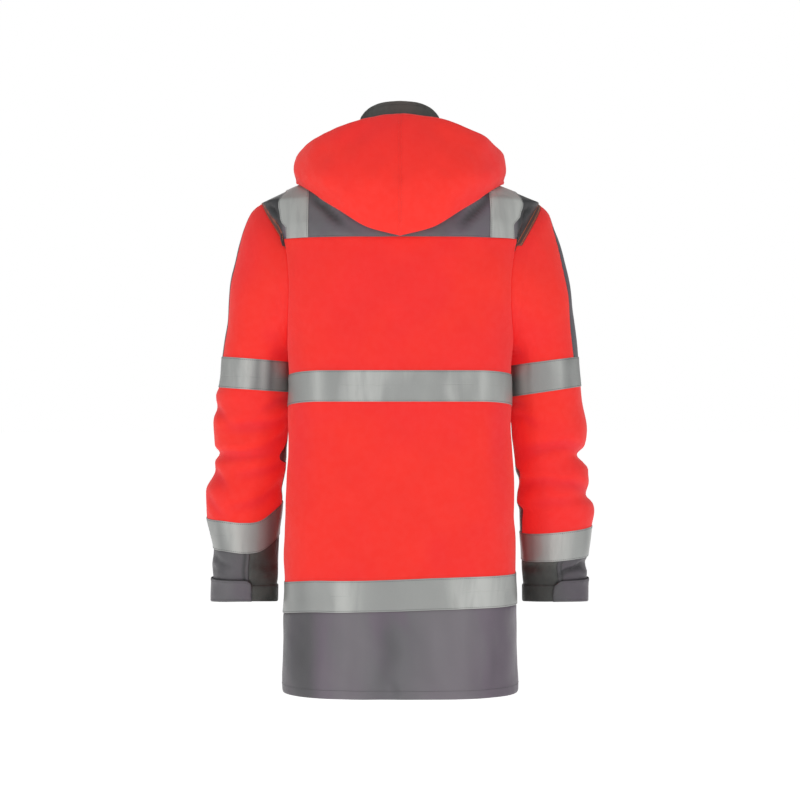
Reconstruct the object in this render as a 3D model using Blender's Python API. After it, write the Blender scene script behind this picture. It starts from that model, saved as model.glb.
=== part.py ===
"""Long hooded hi-vis parka, worn form with no wearer.

Metres, +Z up. The front faces -Y, the wearer's left is +X. The origin is the middle of the neck opening, level
with the neck points of the shoulder seams. Every cloth piece is a thin wall cut from one shared skin, so that
neighbouring pieces meet along the same seam line with a narrow gap.
"""

import math

import bmesh
import bpy
import numpy as np
from mathutils import Matrix, Vector

# ---------------------------------------------------------------- driving dimensions

CLOTH = 0.0020          # body cloth with its lining
TAPE = 0.0010           # reflective tape
GAP = 0.0003            # between pieces that touch
SEAM_TRIM = 0.0002      # taken off each side of a seam
NECK_WIDTH = 0.070      # half the neck opening
FRONT_NECK_DROP = 0.040
SHOULDER_X = 0.231      # end of the shoulder seam
SHOULDER_Z = -0.070
ARMPIT_Z = -0.310
ARMHOLE_MIDDLE_Z = 0.5 * (SHOULDER_Z + ARMPIT_Z)
ARMHOLE_WIDEST_Z = -0.205
ARMHOLE_REACH = {"back": 0.091, "front": 0.082}
ARMHOLE_ROUNDNESS = {"upper": 1.55, "lower": 2.2}
YOKE_TIP_Z = -0.150
YOKE_SEAM_Z = {"back": -0.135, "front": -0.158}
FRONT_OPENING = 0.0045  # half the width between the front edges
ZIP_TAPE_WIDTH = 0.010
ZIP_BEHIND = 0.0044     # face of the zip tapes behind the face of the fronts
ZIP_CHAIN_WIDTH = 0.0060
ZIP_CHAIN_DEPTH = 0.0024

# The body, level by level: half width, depth behind and in front of the side seam, how square each half is,
# and how far the hanging arm presses the side in.
BODY = (
    ("z", "width", "back", "front", "back_square", "front_square", "hollow"),
    (0.000, NECK_WIDTH, 0.070, 0.074, 2.0, 2.0, 0.000),
    (-0.020, 0.1160, 0.086, 0.081, 2.0, 2.0, 0.000),
    (-0.040, 0.1620, 0.101, 0.090, 2.1, 2.0, 0.000),
    (SHOULDER_Z, SHOULDER_X, 0.116, 0.108, 2.3, 2.2, 0.000),
    (-0.095, 0.2230, 0.123, 0.118, 2.5, 2.4, 0.000),
    (-0.116, 0.2134, 0.127, 0.124, 2.8, 2.6, 0.000),
    (-0.150, 0.2010, 0.130, 0.131, 3.1, 2.8, 0.000),
    (-0.205, 0.1945, 0.132, 0.138, 3.8, 3.1, 0.000),
    (-0.260, 0.1890, 0.133, 0.141, 4.0, 3.2, 0.000),
    (-0.310, 0.1850, 0.134, 0.142, 4.0, 3.2, 0.002),
    (-0.360, 0.1845, 0.134, 0.142, 4.0, 3.2, 0.008),
    (-0.450, 0.1845, 0.133, 0.142, 4.0, 3.2, 0.008),
    (-0.550, 0.1885, 0.131, 0.141, 4.0, 3.2, 0.004),
    (-0.650, 0.1912, 0.130, 0.140, 3.5, 3.1, 0.000),
    (-0.875, 0.1950, 0.128, 0.138, 3.0, 2.9, 0.000),
)
HOLLOW_Y = -0.020
HOLLOW_SPREAD = 0.045

# Rows of the body panels from the hem up to the armpit, and how far each dips from the middle to the side seam.
LEVELS = (
    ("z", "dip_left", "dip_right"),
    (-0.8750, 0.000, 0.000),
    (-0.8060, 0.004, 0.000),
    (-0.7340, 0.012, -0.001),
    (-0.6840, 0.012, -0.001),
    (-0.6100, 0.006, 0.001),
    (-0.5300, 0.003, 0.003),
    (-0.4600, 0.007, 0.007),
    (-0.3995, 0.011, 0.010),
    (-0.3495, 0.011, 0.010),
    (ARMPIT_Z, 0.000, 0.000),
)
HEM_SEAM_ROW = 2
HEM_TAPE_ROWS = (2, 3)
CHEST_TAPE_ROWS = (7, 8)
DIP_STARTS = 0.45       # fraction of the way from the middle to the side

# Columns of the body: where each meets the yoke seam (share of the seam), where it meets the shoulder line
# (as x), and its share of a level ring below.
COLUMNS = (
    ("seam", "shoulder_x", "ring"),
    (0.000, 0.0000, 0.000),
    (0.185, 0.0270, 0.200),
    (0.370, 0.0495, 0.370),
    (0.510, 0.0647, 0.500),
    (0.610, NECK_WIDTH, 0.600),
    (0.700, 0.1480, 0.690),
    (0.840, 0.1720, 0.780),
    (0.975, 0.1960, 0.870),
    (1.000, SHOULDER_X, 1.000),
)
SHOULDER_TAPE_COLUMNS = (5, 7)
YOKE_ROWS = 4
SIDE_ROWS = 5           # from the yoke tip down to the armpit

# The sleeves, station by station from the armhole to the cuff edge: the outer and inner edge in front view,
# the middle of the sleeve in side view, its half depth, and how much lower it is at the back.
SLEEVE_LEFT = (
    ("row", "outer_x", "outer_z", "inner_x", "inner_z", "y", "depth", "tilt"),
    (0, SHOULDER_X, SHOULDER_Z, 0.1850, ARMPIT_Z, 0.000, 0.088, 0.000),
    (1, 0.2470, -0.0850, 0.1852, -0.3140, 0.000, 0.086, 0.000),
    (2, 0.2592, -0.1132, 0.1850, -0.3176, -0.002, 0.084, 0.000),
    (3, 0.2700, -0.1510, 0.1846, -0.3210, -0.004, 0.082, 0.000),
    (4, 0.2810, -0.1950, 0.1840, -0.3240, -0.006, 0.079, 0.000),
    (5, 0.2870, -0.2440, 0.1834, -0.3270, -0.008, 0.076, 0.000),
    (6, 0.2915, -0.2850, 0.1828, -0.3300, -0.009, 0.073, 0.000),
    (7, 0.2960, -0.3250, 0.1824, -0.3340, -0.011, 0.071, 0.000),
    (8, 0.3025, -0.3760, 0.1828, -0.3840, -0.015, 0.070, 0.000),
    (9, 0.3130, -0.4360, 0.1870, -0.4380, -0.023, 0.068, 0.002),
    (10, 0.3040, -0.4860, 0.1916, -0.4800, -0.030, 0.066, 0.004),
    (11, 0.3110, -0.5140, 0.1928, -0.5120, -0.034, 0.066, 0.005),
    (12, 0.3262, -0.5500, 0.1990, -0.5480, -0.038, 0.066, 0.006),
    (13, 0.3245, -0.5980, 0.2010, -0.5730, -0.043, 0.063, 0.008),
    (14, 0.3150, -0.6490, 0.2045, -0.6280, -0.049, 0.058, 0.007),
    (15, 0.3185, -0.6760, 0.2060, -0.6740, -0.053, 0.053, 0.003),
    (16, 0.3165, -0.6970, 0.2080, -0.6970, -0.055, 0.050, 0.000),
    (17, 0.3155, -0.7090, 0.2095, -0.7090, -0.056, 0.048, -0.002),
    (18, 0.3155, -0.7350, 0.2110, -0.7350, -0.058, 0.046, -0.004),
)
SLEEVE_RIGHT = (
    ("row", "outer_x", "outer_z", "inner_x", "inner_z", "y", "depth", "tilt"),
    (0, SHOULDER_X, SHOULDER_Z, 0.1850, ARMPIT_Z, 0.000, 0.088, 0.000),
    (1, 0.2480, -0.0860, 0.1852, -0.3140, 0.000, 0.086, 0.000),
    (2, 0.2590, -0.1160, 0.1850, -0.3175, -0.002, 0.084, 0.000),
    (3, 0.2695, -0.1510, 0.1846, -0.3210, -0.004, 0.082, 0.000),
    (4, 0.2810, -0.1920, 0.1840, -0.3245, -0.006, 0.079, 0.000),
    (5, 0.2880, -0.2380, 0.1834, -0.3280, -0.008, 0.076, 0.000),
    (6, 0.2920, -0.2830, 0.1828, -0.3330, -0.009, 0.073, 0.000),
    (7, 0.2965, -0.3250, 0.1824, -0.3400, -0.011, 0.071, 0.000),
    (8, 0.3025, -0.3740, 0.1828, -0.3920, -0.015, 0.070, 0.000),
    (9, 0.3130, -0.4480, 0.1880, -0.4400, -0.023, 0.068, 0.001),
    (10, 0.2995, -0.4890, 0.1922, -0.4830, -0.030, 0.066, 0.002),
    (11, 0.3155, -0.5170, 0.1944, -0.5140, -0.034, 0.066, 0.002),
    (12, 0.3145, -0.5570, 0.1990, -0.5500, -0.038, 0.065, 0.003),
    (13, 0.3250, -0.6080, 0.2030, -0.6190, -0.044, 0.062, 0.003),
    (14, 0.3170, -0.6580, 0.2065, -0.6670, -0.050, 0.057, 0.002),
    (15, 0.3150, -0.6780, 0.2068, -0.6820, -0.053, 0.053, 0.001),
    (16, 0.3170, -0.6970, 0.2085, -0.6980, -0.055, 0.050, 0.000),
    (17, 0.3160, -0.7090, 0.2100, -0.7090, -0.056, 0.048, -0.002),
    (18, 0.3155, -0.7350, 0.2112, -0.7350, -0.058, 0.046, -0.004),
)
SLEEVE_SQUARE = 2.35
SLEEVE_FREE_ROW = 7     # below it the sleeve no longer follows the armhole's shape
UPPER_TAPE_ROWS = (7, 8)
LOWER_TAPE_ROWS = (13, 14)
CUFF_ROW = 14
BAND_ROWS = (17, 18)
TAB_ROWS = (16, 18)
BAND = 0.0020
TAB = 0.0022
TOP_STRIP_COLUMNS = 2
INNER_STRIP_COLUMNS = 3
TAB_COLUMNS = (-3, 5)   # from the front, round the outside, to just past the middle of the back

# The stand collar, from the middle of the back (0) to the front edge (180), and its lean at the top.
COLLAR = 0.0028
COLLAR_TOP = (
    ("angle", "z", "reach"),
    (0, 0.092, 0.066),
    (45, 0.084, 0.065),
    (90, 0.064, 0.0625),
    (135, 0.052, 0.079),
    (180, 0.047, 0.090),
)
COLLAR_SPLIT = 4.0      # degrees left open each side of the zip
COLLAR_COLUMNS = 12     # from the middle of the back to the front edge
COLLAR_RISE = 0.0009    # clear of the neck seam

# The hood, hanging as a pouch, from the middle of the back (0) to its ends at the front neck. The out columns
# are measured outwards from the neck seam, and heights from the origin.
HOOD = (
    ("angle", "fold_out", "fold_z", "belly_out", "belly_z", "rim_out", "rim_z"),
    (0, 0.0800, -0.136, 0.1020, -0.055, 0.0520, 0.063),
    (20, 0.0840, -0.122, 0.1080, -0.050, 0.0590, 0.060),
    (40, 0.0950, -0.090, 0.1160, -0.040, 0.0780, 0.048),
    (60, 0.1020, -0.062, 0.1180, -0.030, 0.0960, 0.030),
    (80, 0.1050, -0.044, 0.1140, -0.020, 0.1050, 0.009),
    (100, 0.0760, -0.038, 0.0870, -0.018, 0.0800, 0.001),
    (120, 0.0450, -0.037, 0.0550, -0.018, 0.0490, -0.003),
    (140, 0.0210, -0.040, 0.0290, -0.022, 0.0240, -0.006),
    (165, 0.0070, -0.040, 0.0130, -0.028, 0.0100, -0.012),
)
HOOD_WALL = 0.0022
HOOD_REACH = {"left": 0.965, "right": 0.994}
HOOD_RIM_SAG = {"left": 0.004, "right": 0.001}   # halfway round each side
HOOD_COLUMNS = 11       # of the collar's columns, from the middle of the back
HOOD_ROWS = 10
HOOD_CLEARANCE = 0.0050  # hood above the yoke and its tapes
HOOD_SEAM_OUT = 0.0006   # hood seam outside the collar
RIM_TURN = 0.012         # depth of the turned-in rim
FOLD_BEND = 0.006        # radius of the bend at the bottom fold
HOOD_SEAM_RISE = 0.004   # hood seam above the neck seam
HOOD_BULGE = 0.020       # how far the under layer rises off the yoke at the middle of the back

# The slider, with its heights measured down from its top, and the pull tab on its pin.
SLIDER_TOP_Z = 0.022
SLIDER = {"width": 0.0090, "height": 0.0120, "plate": 0.0014, "play": 0.0006}
SLIDER_NECK = {"width": 0.0032, "top": 0.0006, "bottom": 0.0040}
PIN = {"radius": 0.0008, "down": 0.0030, "standoff": 0.0032}
EAR = {"inside": 0.0022, "thickness": 0.0012, "half_height": 0.0018, "beyond_pin": 0.0016}
PULL = {"length": 0.030, "width": 0.0060, "thickness": 0.0014, "eye": 0.0022, "hole": 0.0012, "play": 0.0004,
        "shank_top": 0.0014, "shank_bottom": 0.0070, "blade_top": 0.0062}
ZIP_STOP_Z = 0.017      # top of the closed chain, inside the slider
ZIP_EXTRA_Z = (-0.27, -0.23, -0.19, -0.13, -0.10, -0.07)

RED = (0.95, 0.04, 0.025)
GREY = (0.135, 0.125, 0.14)
DARK_GREY = (0.055, 0.057, 0.058)
SILVER = (0.42, 0.43, 0.42)
METAL = (0.30, 0.30, 0.31)


# ---------------------------------------------------------------- tables and curves

def curve(table, along, value):
    """Smooth function through one column of a table, with no overshoot between its rows."""
    names = table[0]
    rows = np.array(sorted(table[1:], key=lambda row: row[names.index(along)]), dtype=float)
    x = rows[:, names.index(along)]
    y = rows[:, names.index(value)]
    step = np.diff(x)
    rise = np.diff(y) / step
    slope = np.zeros(len(x))
    slope[0] = rise[0]
    slope[-1] = rise[-1]
    agree = rise[:-1] * rise[1:] > 0
    slope[1:-1][agree] = 2 * rise[:-1][agree] * rise[1:][agree] / (rise[:-1] + rise[1:])[agree]

    def at(place):
        place = np.clip(np.asarray(place, dtype=float), x[0], x[-1])
        i = np.clip(np.searchsorted(x, place) - 1, 0, len(x) - 2)
        t = (place - x[i]) / step[i]
        start = (1 + 2 * t) * (1 - t) ** 2 * y[i] + t * (1 - t) ** 2 * step[i] * slope[i]
        end = t * t * (3 - 2 * t) * y[i + 1] + t * t * (t - 1) * step[i] * slope[i + 1]
        return start + end

    return at


def signed_power(value, power):
    return np.sign(value) * np.abs(value) ** power


def smooth_step(value):
    value = np.clip(value, 0.0, 1.0)
    return value * value * (3 - 2 * value)


width_below_shoulder = curve([BODY[0]] + [row for row in BODY[1:] if row[0] <= SHOULDER_Z], "z", "width")
body_hollow = curve(BODY, "z", "hollow")
body_depth = {"back": curve(BODY, "z", "back"), "front": curve(BODY, "z", "front")}
body_square = {"back": curve(BODY, "z", "back_square"), "front": curve(BODY, "z", "front_square")}
FACING = {"back": 1.0, "front": -1.0}


def body_width(z):
    """Half width at a height: straight shoulders above the shoulder point, the table below it."""
    shoulder = NECK_WIDTH + (SHOULDER_X - NECK_WIDTH) * np.asarray(z) / SHOULDER_Z
    return np.where(np.asarray(z) > SHOULDER_Z, np.maximum(shoulder, NECK_WIDTH), width_below_shoulder(z))


# ---------------------------------------------------------------- the body's skin

def surface_y(x, z, half):
    """Depth of the body's skin at a given x and height."""
    share = np.clip(np.abs(x) / body_width(z), 0.0, 1.0)
    square = body_square[half](z)
    return FACING[half] * body_depth[half](z) * (1 - share ** square) ** (1 / square)


def surface_x(y, z, half):
    """Half width of the body's skin at a given depth and height."""
    share = np.clip(np.abs(y) / body_depth[half](z), 0.0, 1.0)
    square = body_square[half](z)
    return body_width(z) * (1 - share ** square) ** (1 / square)


def press_side(points):
    """The arm's hollow in the side of the body."""
    pressed = points.copy()
    x = points[..., 0]
    y = points[..., 1]
    hollow = body_hollow(points[..., 2]) * np.exp(-((y - HOLLOW_Y) / HOLLOW_SPREAD) ** 2)
    pressed[..., 0] = x - np.sign(x) * hollow * smooth_step(np.abs(x) / 0.12)
    return pressed


def armhole_y(z, half):
    """Depth of the armhole's edge at a height."""
    above = z > ARMHOLE_WIDEST_Z
    reach_up = (z - ARMHOLE_WIDEST_Z) / (SHOULDER_Z - ARMHOLE_WIDEST_Z)
    reach_down = (ARMHOLE_WIDEST_Z - z) / (ARMHOLE_WIDEST_Z - ARMPIT_Z)
    share = np.clip(np.where(above, reach_up, reach_down), 0.0, 1.0)
    roundness = np.where(above, ARMHOLE_ROUNDNESS["upper"], ARMHOLE_ROUNDNESS["lower"])
    return FACING[half] * ARMHOLE_REACH[half] * (1 - share ** roundness) ** (1 / roundness)


def armhole_z(angle):
    """Height on the armhole, from 0 at the shoulder to pi at the armpit."""
    return ARMHOLE_MIDDLE_Z + 0.5 * (SHOULDER_Z - ARMPIT_Z) * np.cos(angle)


YOKE_TIP_ANGLE = math.acos((YOKE_TIP_Z - ARMHOLE_MIDDLE_Z) / (0.5 * (SHOULDER_Z - ARMPIT_Z)))


def armhole_point(angle, half):
    """Point of the left armhole."""
    z = armhole_z(angle)
    y = armhole_y(z, half)
    return np.stack([surface_x(y, z, half), y, z], axis=-1)


def ring_point(share, z, limit_y, half, samples=240):
    """Point a given share of the way round the level arc from the middle of the body to limit_y."""
    share, z, limit_y = np.broadcast_arrays(share, z, limit_y)
    square = body_square[half](z)
    depth = body_depth[half](z)
    end = np.arccos(np.clip(np.abs(limit_y) / depth, 0, 1) ** (square / 2))
    angle = end[..., None] * np.linspace(0, 1, samples)
    power = 2 / square[..., None]
    x = body_width(z)[..., None] * np.abs(np.sin(angle)) ** power
    y = FACING[half] * depth[..., None] * np.abs(np.cos(angle)) ** power
    step = np.hypot(np.diff(x, axis=-1), np.diff(y, axis=-1))
    length = np.concatenate([np.zeros(z.shape + (1,)), np.cumsum(step, axis=-1)], axis=-1)
    target = (share * length[..., -1])[..., None]
    i = np.clip((length < target).sum(axis=-1, keepdims=True) - 1, 0, samples - 2)
    start = np.take_along_axis(length, i, -1)
    t = ((target - start) / np.take_along_axis(step, i, -1))[..., 0]

    def between(values):
        first = np.take_along_axis(values, i, -1)[..., 0]
        second = np.take_along_axis(values, i + 1, -1)[..., 0]
        return first + (second - first) * t

    return np.stack([between(x), between(y), z], axis=-1)


def column(name):
    return np.array([row[COLUMNS[0].index(name)] for row in COLUMNS[1:]])


def seam_row(half):
    """The yoke seam, from the middle to its tip on the armhole."""
    share = column("seam")
    dip = smooth_step((share - 0.80) / 0.20)
    z = YOKE_SEAM_Z[half] + (YOKE_TIP_Z - YOKE_SEAM_Z[half]) * dip
    return ring_point(share, z, armhole_y(z, half), half)


def shoulder_top_z(x, half):
    """Height of the shoulder line outside the neck, and of the neck seam inside it."""
    slope = SHOULDER_Z / (SHOULDER_X - NECK_WIDTH)
    ridge = slope * (np.abs(x) - NECK_WIDTH)
    drop = FRONT_NECK_DROP if half == "front" else 0.0
    neck = -drop * np.sqrt(np.clip(1 - (np.abs(x) / NECK_WIDTH) ** 2, 0, 1))
    return np.where(np.abs(x) > NECK_WIDTH, ridge, neck)


def yoke_grid(half):
    """Left half of a yoke, from its seam up to the shoulder line and neck."""
    bottom = seam_row(half)
    top_x = column("shoulder_x")
    top_z = shoulder_top_z(top_x, half)
    tip = armhole_point(np.array(YOKE_TIP_ANGLE), half)
    rows = []
    for row in range(YOKE_ROWS + 1):
        angle = YOKE_TIP_ANGLE * (1 - row / YOKE_ROWS)
        rise = (math.cos(angle) - math.cos(YOKE_TIP_ANGLE)) / (1 - math.cos(YOKE_TIP_ANGLE))
        edge_x = armhole_point(np.array(angle), half)[0]
        spread = (edge_x - tip[0]) / (SHOULDER_X - tip[0])
        x = bottom[:, 0] + (top_x - bottom[:, 0]) * spread
        z = bottom[:, 2] + (top_z - bottom[:, 2]) * rise
        points = np.stack([x, surface_y(x, z, half), z], axis=-1)
        points[-1] = armhole_point(np.array(angle), half)
        rows.append(points)
    rows[0] = bottom
    return np.array(rows)


def body_rows(half, side):
    """Left-hand grid of a panel from the hem to the yoke seam, dipping as the given side does."""
    ring = column("ring")
    seam = column("seam")
    levels = LEVELS[1:]
    dip_name = LEVELS[0].index("dip_" + side)
    dip_share = smooth_step((ring - DIP_STARTS) / (1 - DIP_STARTS))
    rows = []
    for level in levels:
        z = level[0] - level[dip_name] * dip_share
        rows.append(ring_point(ring, z, 0.0, half))
    for row in range(1, SIDE_ROWS):
        t = row / SIDE_ROWS
        angle = math.pi + (YOKE_TIP_ANGLE - math.pi) * t
        edge_z = float(armhole_z(angle))
        middle_z = ARMPIT_Z + (YOKE_SEAM_Z[half] - ARMPIT_Z) * t
        share = ring + (seam - ring) * smooth_step(t)
        z = middle_z + (edge_z - middle_z) * smooth_step((share - 0.5) / 0.5)
        limit = armhole_y(z, half)
        limit = np.where(share > 0.999, armhole_y(edge_z, half), limit)
        rows.append(ring_point(share, z, limit, half))
    rows.append(seam_row(half))
    return press_side(np.array(rows))


def mirrored(points):
    return points * np.array([-1.0, 1.0, 1.0])


def across(left, right):
    """One grid from the right edge to the left edge, out of two halves that share the middle column."""
    return np.concatenate([mirrored(right)[:, :0:-1], left], axis=1)


def front_edge(grid):
    """Moves the middle column out to the front opening's edge, along the skin."""
    opened = grid.copy()
    opened[:, 0, 0] = FRONT_OPENING
    return opened


# ---------------------------------------------------------------- the sleeves

def sleeve_angles():
    """Angles round the sleeve: outside 0, back a quarter turn, inside half a turn, front three quarters."""
    upper = np.linspace(0, YOKE_TIP_ANGLE, YOKE_ROWS + 1)
    lower = np.linspace(YOKE_TIP_ANGLE, math.pi, SIDE_ROWS + 1)[1:]
    back = np.concatenate([upper, lower])
    front = 2 * math.pi - back[-2:0:-1]
    return np.concatenate([back, front])


def sleeve_grid(table):
    """Left-hand sleeve grid, a ring of columns for each station."""
    angles = sleeve_angles()
    columns = {name: curve(table, "row", name) for name in table[0][1:]}
    back = angles <= math.pi + 1e-9
    folded = np.where(back, angles, 2 * math.pi - angles)
    edge = np.where(back[:, None], armhole_point(folded, "back"), armhole_point(folded, "front"))
    rows = []
    for row in range(len(table) - 1):
        outer = np.array([columns["outer_x"](row), columns["outer_z"](row)])
        inner = np.array([columns["inner_x"](row), columns["inner_z"](row)])
        middle = 0.5 * (outer + inner)
        reach = 0.5 * (outer - inner)
        along = signed_power(np.cos(angles), 2 / SLEEVE_SQUARE)
        x = middle[0] + reach[0] * along
        z = middle[1] + reach[1] * along - columns["tilt"](row) * np.sin(angles)
        y = columns["y"](row) + columns["depth"](row) * signed_power(np.sin(angles), 2 / SLEEVE_SQUARE)
        rows.append(np.stack([x, y, z], axis=-1))
    grid = np.array(rows)
    offset = edge - grid[0]
    for row in range(SLEEVE_FREE_ROW):
        grid[row] += offset * (1 - row / SLEEVE_FREE_ROW) ** 2
    grid[0] = press_side(grid[0])
    return grid


# ---------------------------------------------------------------- shared seams

class Skin:
    """Shells of grids that share their seam points, and the outward normals at those points."""

    def __init__(self):
        self.shells = {}

    @staticmethod
    def key(point):
        return tuple(int(round(value * 1e6)) for value in point)

    def add(self, shell, grid, inside):
        """Adds a grid's face normals to a shell, turned away from the point inside."""
        sums = self.shells.setdefault(shell, {})
        across_edge = grid[1:, 1:] - grid[:-1, :-1]
        other_edge = grid[1:, :-1] - grid[:-1, 1:]
        faces = np.cross(across_edge, other_edge)
        centres = 0.25 * (grid[1:, 1:] + grid[:-1, :-1] + grid[1:, :-1] + grid[:-1, 1:])
        if np.sum(faces * (centres - np.array(inside))) < 0:
            faces = -faces
        for i, j in np.ndindex(faces.shape[:2]):
            for corner in (grid[i, j], grid[i + 1, j], grid[i, j + 1], grid[i + 1, j + 1]):
                key = self.key(corner)
                sums[key] = sums.get(key, np.zeros(3)) + faces[i, j]

    def normal(self, point):
        """Outward normal at a point. Where shells meet, it halves the angle between them."""
        key = self.key(point)
        found = [sums[key] for sums in self.shells.values() if key in sums]
        return sum(total / np.linalg.norm(total) for total in found)

    def normals(self, grid):
        found = np.array([[self.normal(point) for point in row] for row in grid])
        return found / np.linalg.norm(found, axis=-1, keepdims=True)


def trimmed(grid, closed=False):
    """Draws a grid's edges in by the seam trim."""
    cut = grid.copy()
    edges = [(0, 1, 0), (-1, -2, 0)]
    if not closed:
        edges += [(0, 1, 1), (-1, -2, 1)]
    for edge, beside, axis in edges:
        line = np.take(cut, edge, axis=axis)
        towards = np.take(cut, beside, axis=axis) - line
        moved = line + SEAM_TRIM * towards / np.linalg.norm(towards, axis=-1, keepdims=True)
        if axis == 0:
            cut[edge] = moved
        else:
            cut[:, edge] = moved
    return cut


# ---------------------------------------------------------------- objects

def material(name, colour, roughness, metallic=0.0):
    made = bpy.data.materials.get(name) or bpy.data.materials.new(name)
    made.use_nodes = True
    shader = made.node_tree.nodes["Principled BSDF"]
    shader.inputs["Base Color"].default_value = (*colour, 1.0)
    shader.inputs["Roughness"].default_value = roughness
    shader.inputs["Metallic"].default_value = metallic
    return made


def new_object(name, bm, finish):
    """Object from a closed mesh, with its faces turned outwards."""
    if bm.calc_volume(signed=True) < 0:
        bmesh.ops.reverse_faces(bm, faces=bm.faces[:])
    mesh = bpy.data.meshes.new(name)
    bm.to_mesh(mesh)
    bm.free()
    made = bpy.data.objects.new(name, mesh)
    bpy.context.collection.objects.link(made)
    made.data.materials.append(finish)
    made.data.shade_smooth()
    made.data.set_sharp_from_angle(angle=math.radians(40))
    return made


def wall(name, outer, inner, finish, closed=False, base=None):
    """Closed cloth wall between two grids of the same shape, split along the shorter diagonals of base."""
    base = outer if base is None else base
    bm = bmesh.new()
    rows, columns = outer.shape[:2]
    top = [[bm.verts.new(point) for point in line] for line in outer]
    under = [[bm.verts.new(point) for point in line] for line in inner]
    spans = columns if closed else columns - 1
    for i in range(rows - 1):
        for j in range(spans):
            k = (j + 1) % columns
            falling = np.linalg.norm(base[i, j] - base[i + 1, k])
            rising = np.linalg.norm(base[i, k] - base[i + 1, j])
            for side, turn in ((top, 1), (under, -1)):
                a, b, c, d = side[i][j], side[i][k], side[i + 1][k], side[i + 1][j]
                halves = ((a, b, c), (a, c, d)) if round(falling - rising, 7) <= 0 else ((a, b, d), (b, c, d))
                for corners in halves:
                    bm.faces.new(corners[::turn])
    for i, turn in ((0, 1), (rows - 1, -1)):
        for j in range(spans):
            k = (j + 1) % columns
            bm.faces.new((top[i][j], under[i][j], under[i][k], top[i][k])[::turn])
    if not closed:
        for j, turn in ((0, -1), (columns - 1, 1)):
            for i in range(rows - 1):
                bm.faces.new((top[i][j], under[i][j], under[i + 1][j], top[i + 1][j])[::turn])
    return new_object(name, bm, finish)


def cloth(name, skin, grid, finish, thickness=CLOTH, lift=0.0, closed=False):
    """Cloth piece cut from the skin: its face lies lift above the skin, its wall goes inwards from there."""
    normals = skin.normals(grid)
    cut = trimmed(grid, closed)
    outer = cut + normals * lift
    return wall(name, outer, outer - normals * thickness, finish, closed, grid)


def box(name, low, high, finish):
    bm = bmesh.new()
    centre = (Vector(low) + Vector(high)) / 2
    size = Vector(high) - Vector(low)
    bmesh.ops.create_cube(bm, size=1.0, matrix=Matrix.Translation(centre) @ Matrix.Diagonal((*size, 1.0)))
    return new_object(name, bm, finish)


def rod(name, centre, radius, length, finish, segments=16):
    """Round bar along X."""
    bm = bmesh.new()
    turn = Matrix.Rotation(math.radians(90), 4, "Y")
    bmesh.ops.create_cone(bm, cap_ends=True, segments=segments, radius1=radius, radius2=radius, depth=length,
                          matrix=Matrix.Translation(centre) @ turn)
    return new_object(name, bm, finish)


def combine(base, others, operation="UNION"):
    """Joins other solids to the base, or cuts them from it."""
    for other in others:
        other.hide_render = True
        other.display_type = "WIRE"
        step = base.modifiers.new(other.name, "BOOLEAN")
        step.operation = operation
        step.object = other
        step.solver = "EXACT"
    return base


# ---------------------------------------------------------------- pieces

INSIDE_BODY = (0.0, 0.0, -0.30)
INSIDE_SLEEVE = (0.25, -0.02, -0.40)
INSIDE_HOOD = (0.0, 0.03, 0.02)


def build_body(skin, red, grey, silver):
    """Back, fronts, yokes, hem panels and the tapes on them."""
    rows_back = {side: body_rows("back", side) for side in ("left", "right")}
    rows_front = {side: front_edge(body_rows("front", side)) for side in ("left", "right")}
    yoke_back = yoke_grid("back")
    yoke_front = front_edge(yoke_grid("front"))
    whole_back = across(rows_back["left"], rows_back["right"])
    fronts = {"left": rows_front["left"], "right": mirrored(rows_front["right"])}
    yoke_fronts = {"left": yoke_front, "right": mirrored(yoke_front)}
    whole_yoke = across(yoke_back, yoke_back)
    for grid in (whole_back, whole_yoke, *fronts.values(), *yoke_fronts.values()):
        skin.add("body", grid, INSIDE_BODY)
    for table, side in ((SLEEVE_LEFT, 1), (SLEEVE_RIGHT, -1)):
        grid = sleeve_grid(table) * np.array([side, 1.0, 1.0])
        looped = np.concatenate([grid, grid[:, :1]], axis=1)
        skin.add("sleeve", looped, (side * INSIDE_SLEEVE[0], *INSIDE_SLEEVE[1:]))

    cloth("back", skin, whole_back[HEM_SEAM_ROW:], red)
    cloth("hem_back", skin, whole_back[:HEM_SEAM_ROW + 1], grey)
    cloth("yoke_back", skin, whole_yoke, grey)
    tape_lift = GAP + TAPE
    bands = {"chest_tape": CHEST_TAPE_ROWS, "hem_tape": HEM_TAPE_ROWS}
    for name, (low, high) in bands.items():
        cloth(name + "_back", skin, whole_back[low:high + 1], silver, TAPE, tape_lift)
    for side in ("left", "right"):
        cloth("front_" + side, skin, fronts[side][HEM_SEAM_ROW:], red)
        cloth("hem_front_" + side, skin, fronts[side][:HEM_SEAM_ROW + 1], grey)
        cloth("yoke_front_" + side, skin, yoke_fronts[side], grey)
        for name, (low, high) in bands.items():
            cloth(name + "_front_" + side, skin, fronts[side][low:high + 1], silver, TAPE, tape_lift)
        first, last = SHOULDER_TAPE_COLUMNS
        over_back = yoke_back[:, first:last + 1]
        over_front = yoke_front[-2::-1, first:last + 1]
        strap = np.concatenate([over_back, over_front], axis=0)
        if side == "right":
            strap = mirrored(strap)
        cloth("shoulder_tape_" + side, skin, strap, silver, TAPE, tape_lift)


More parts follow.
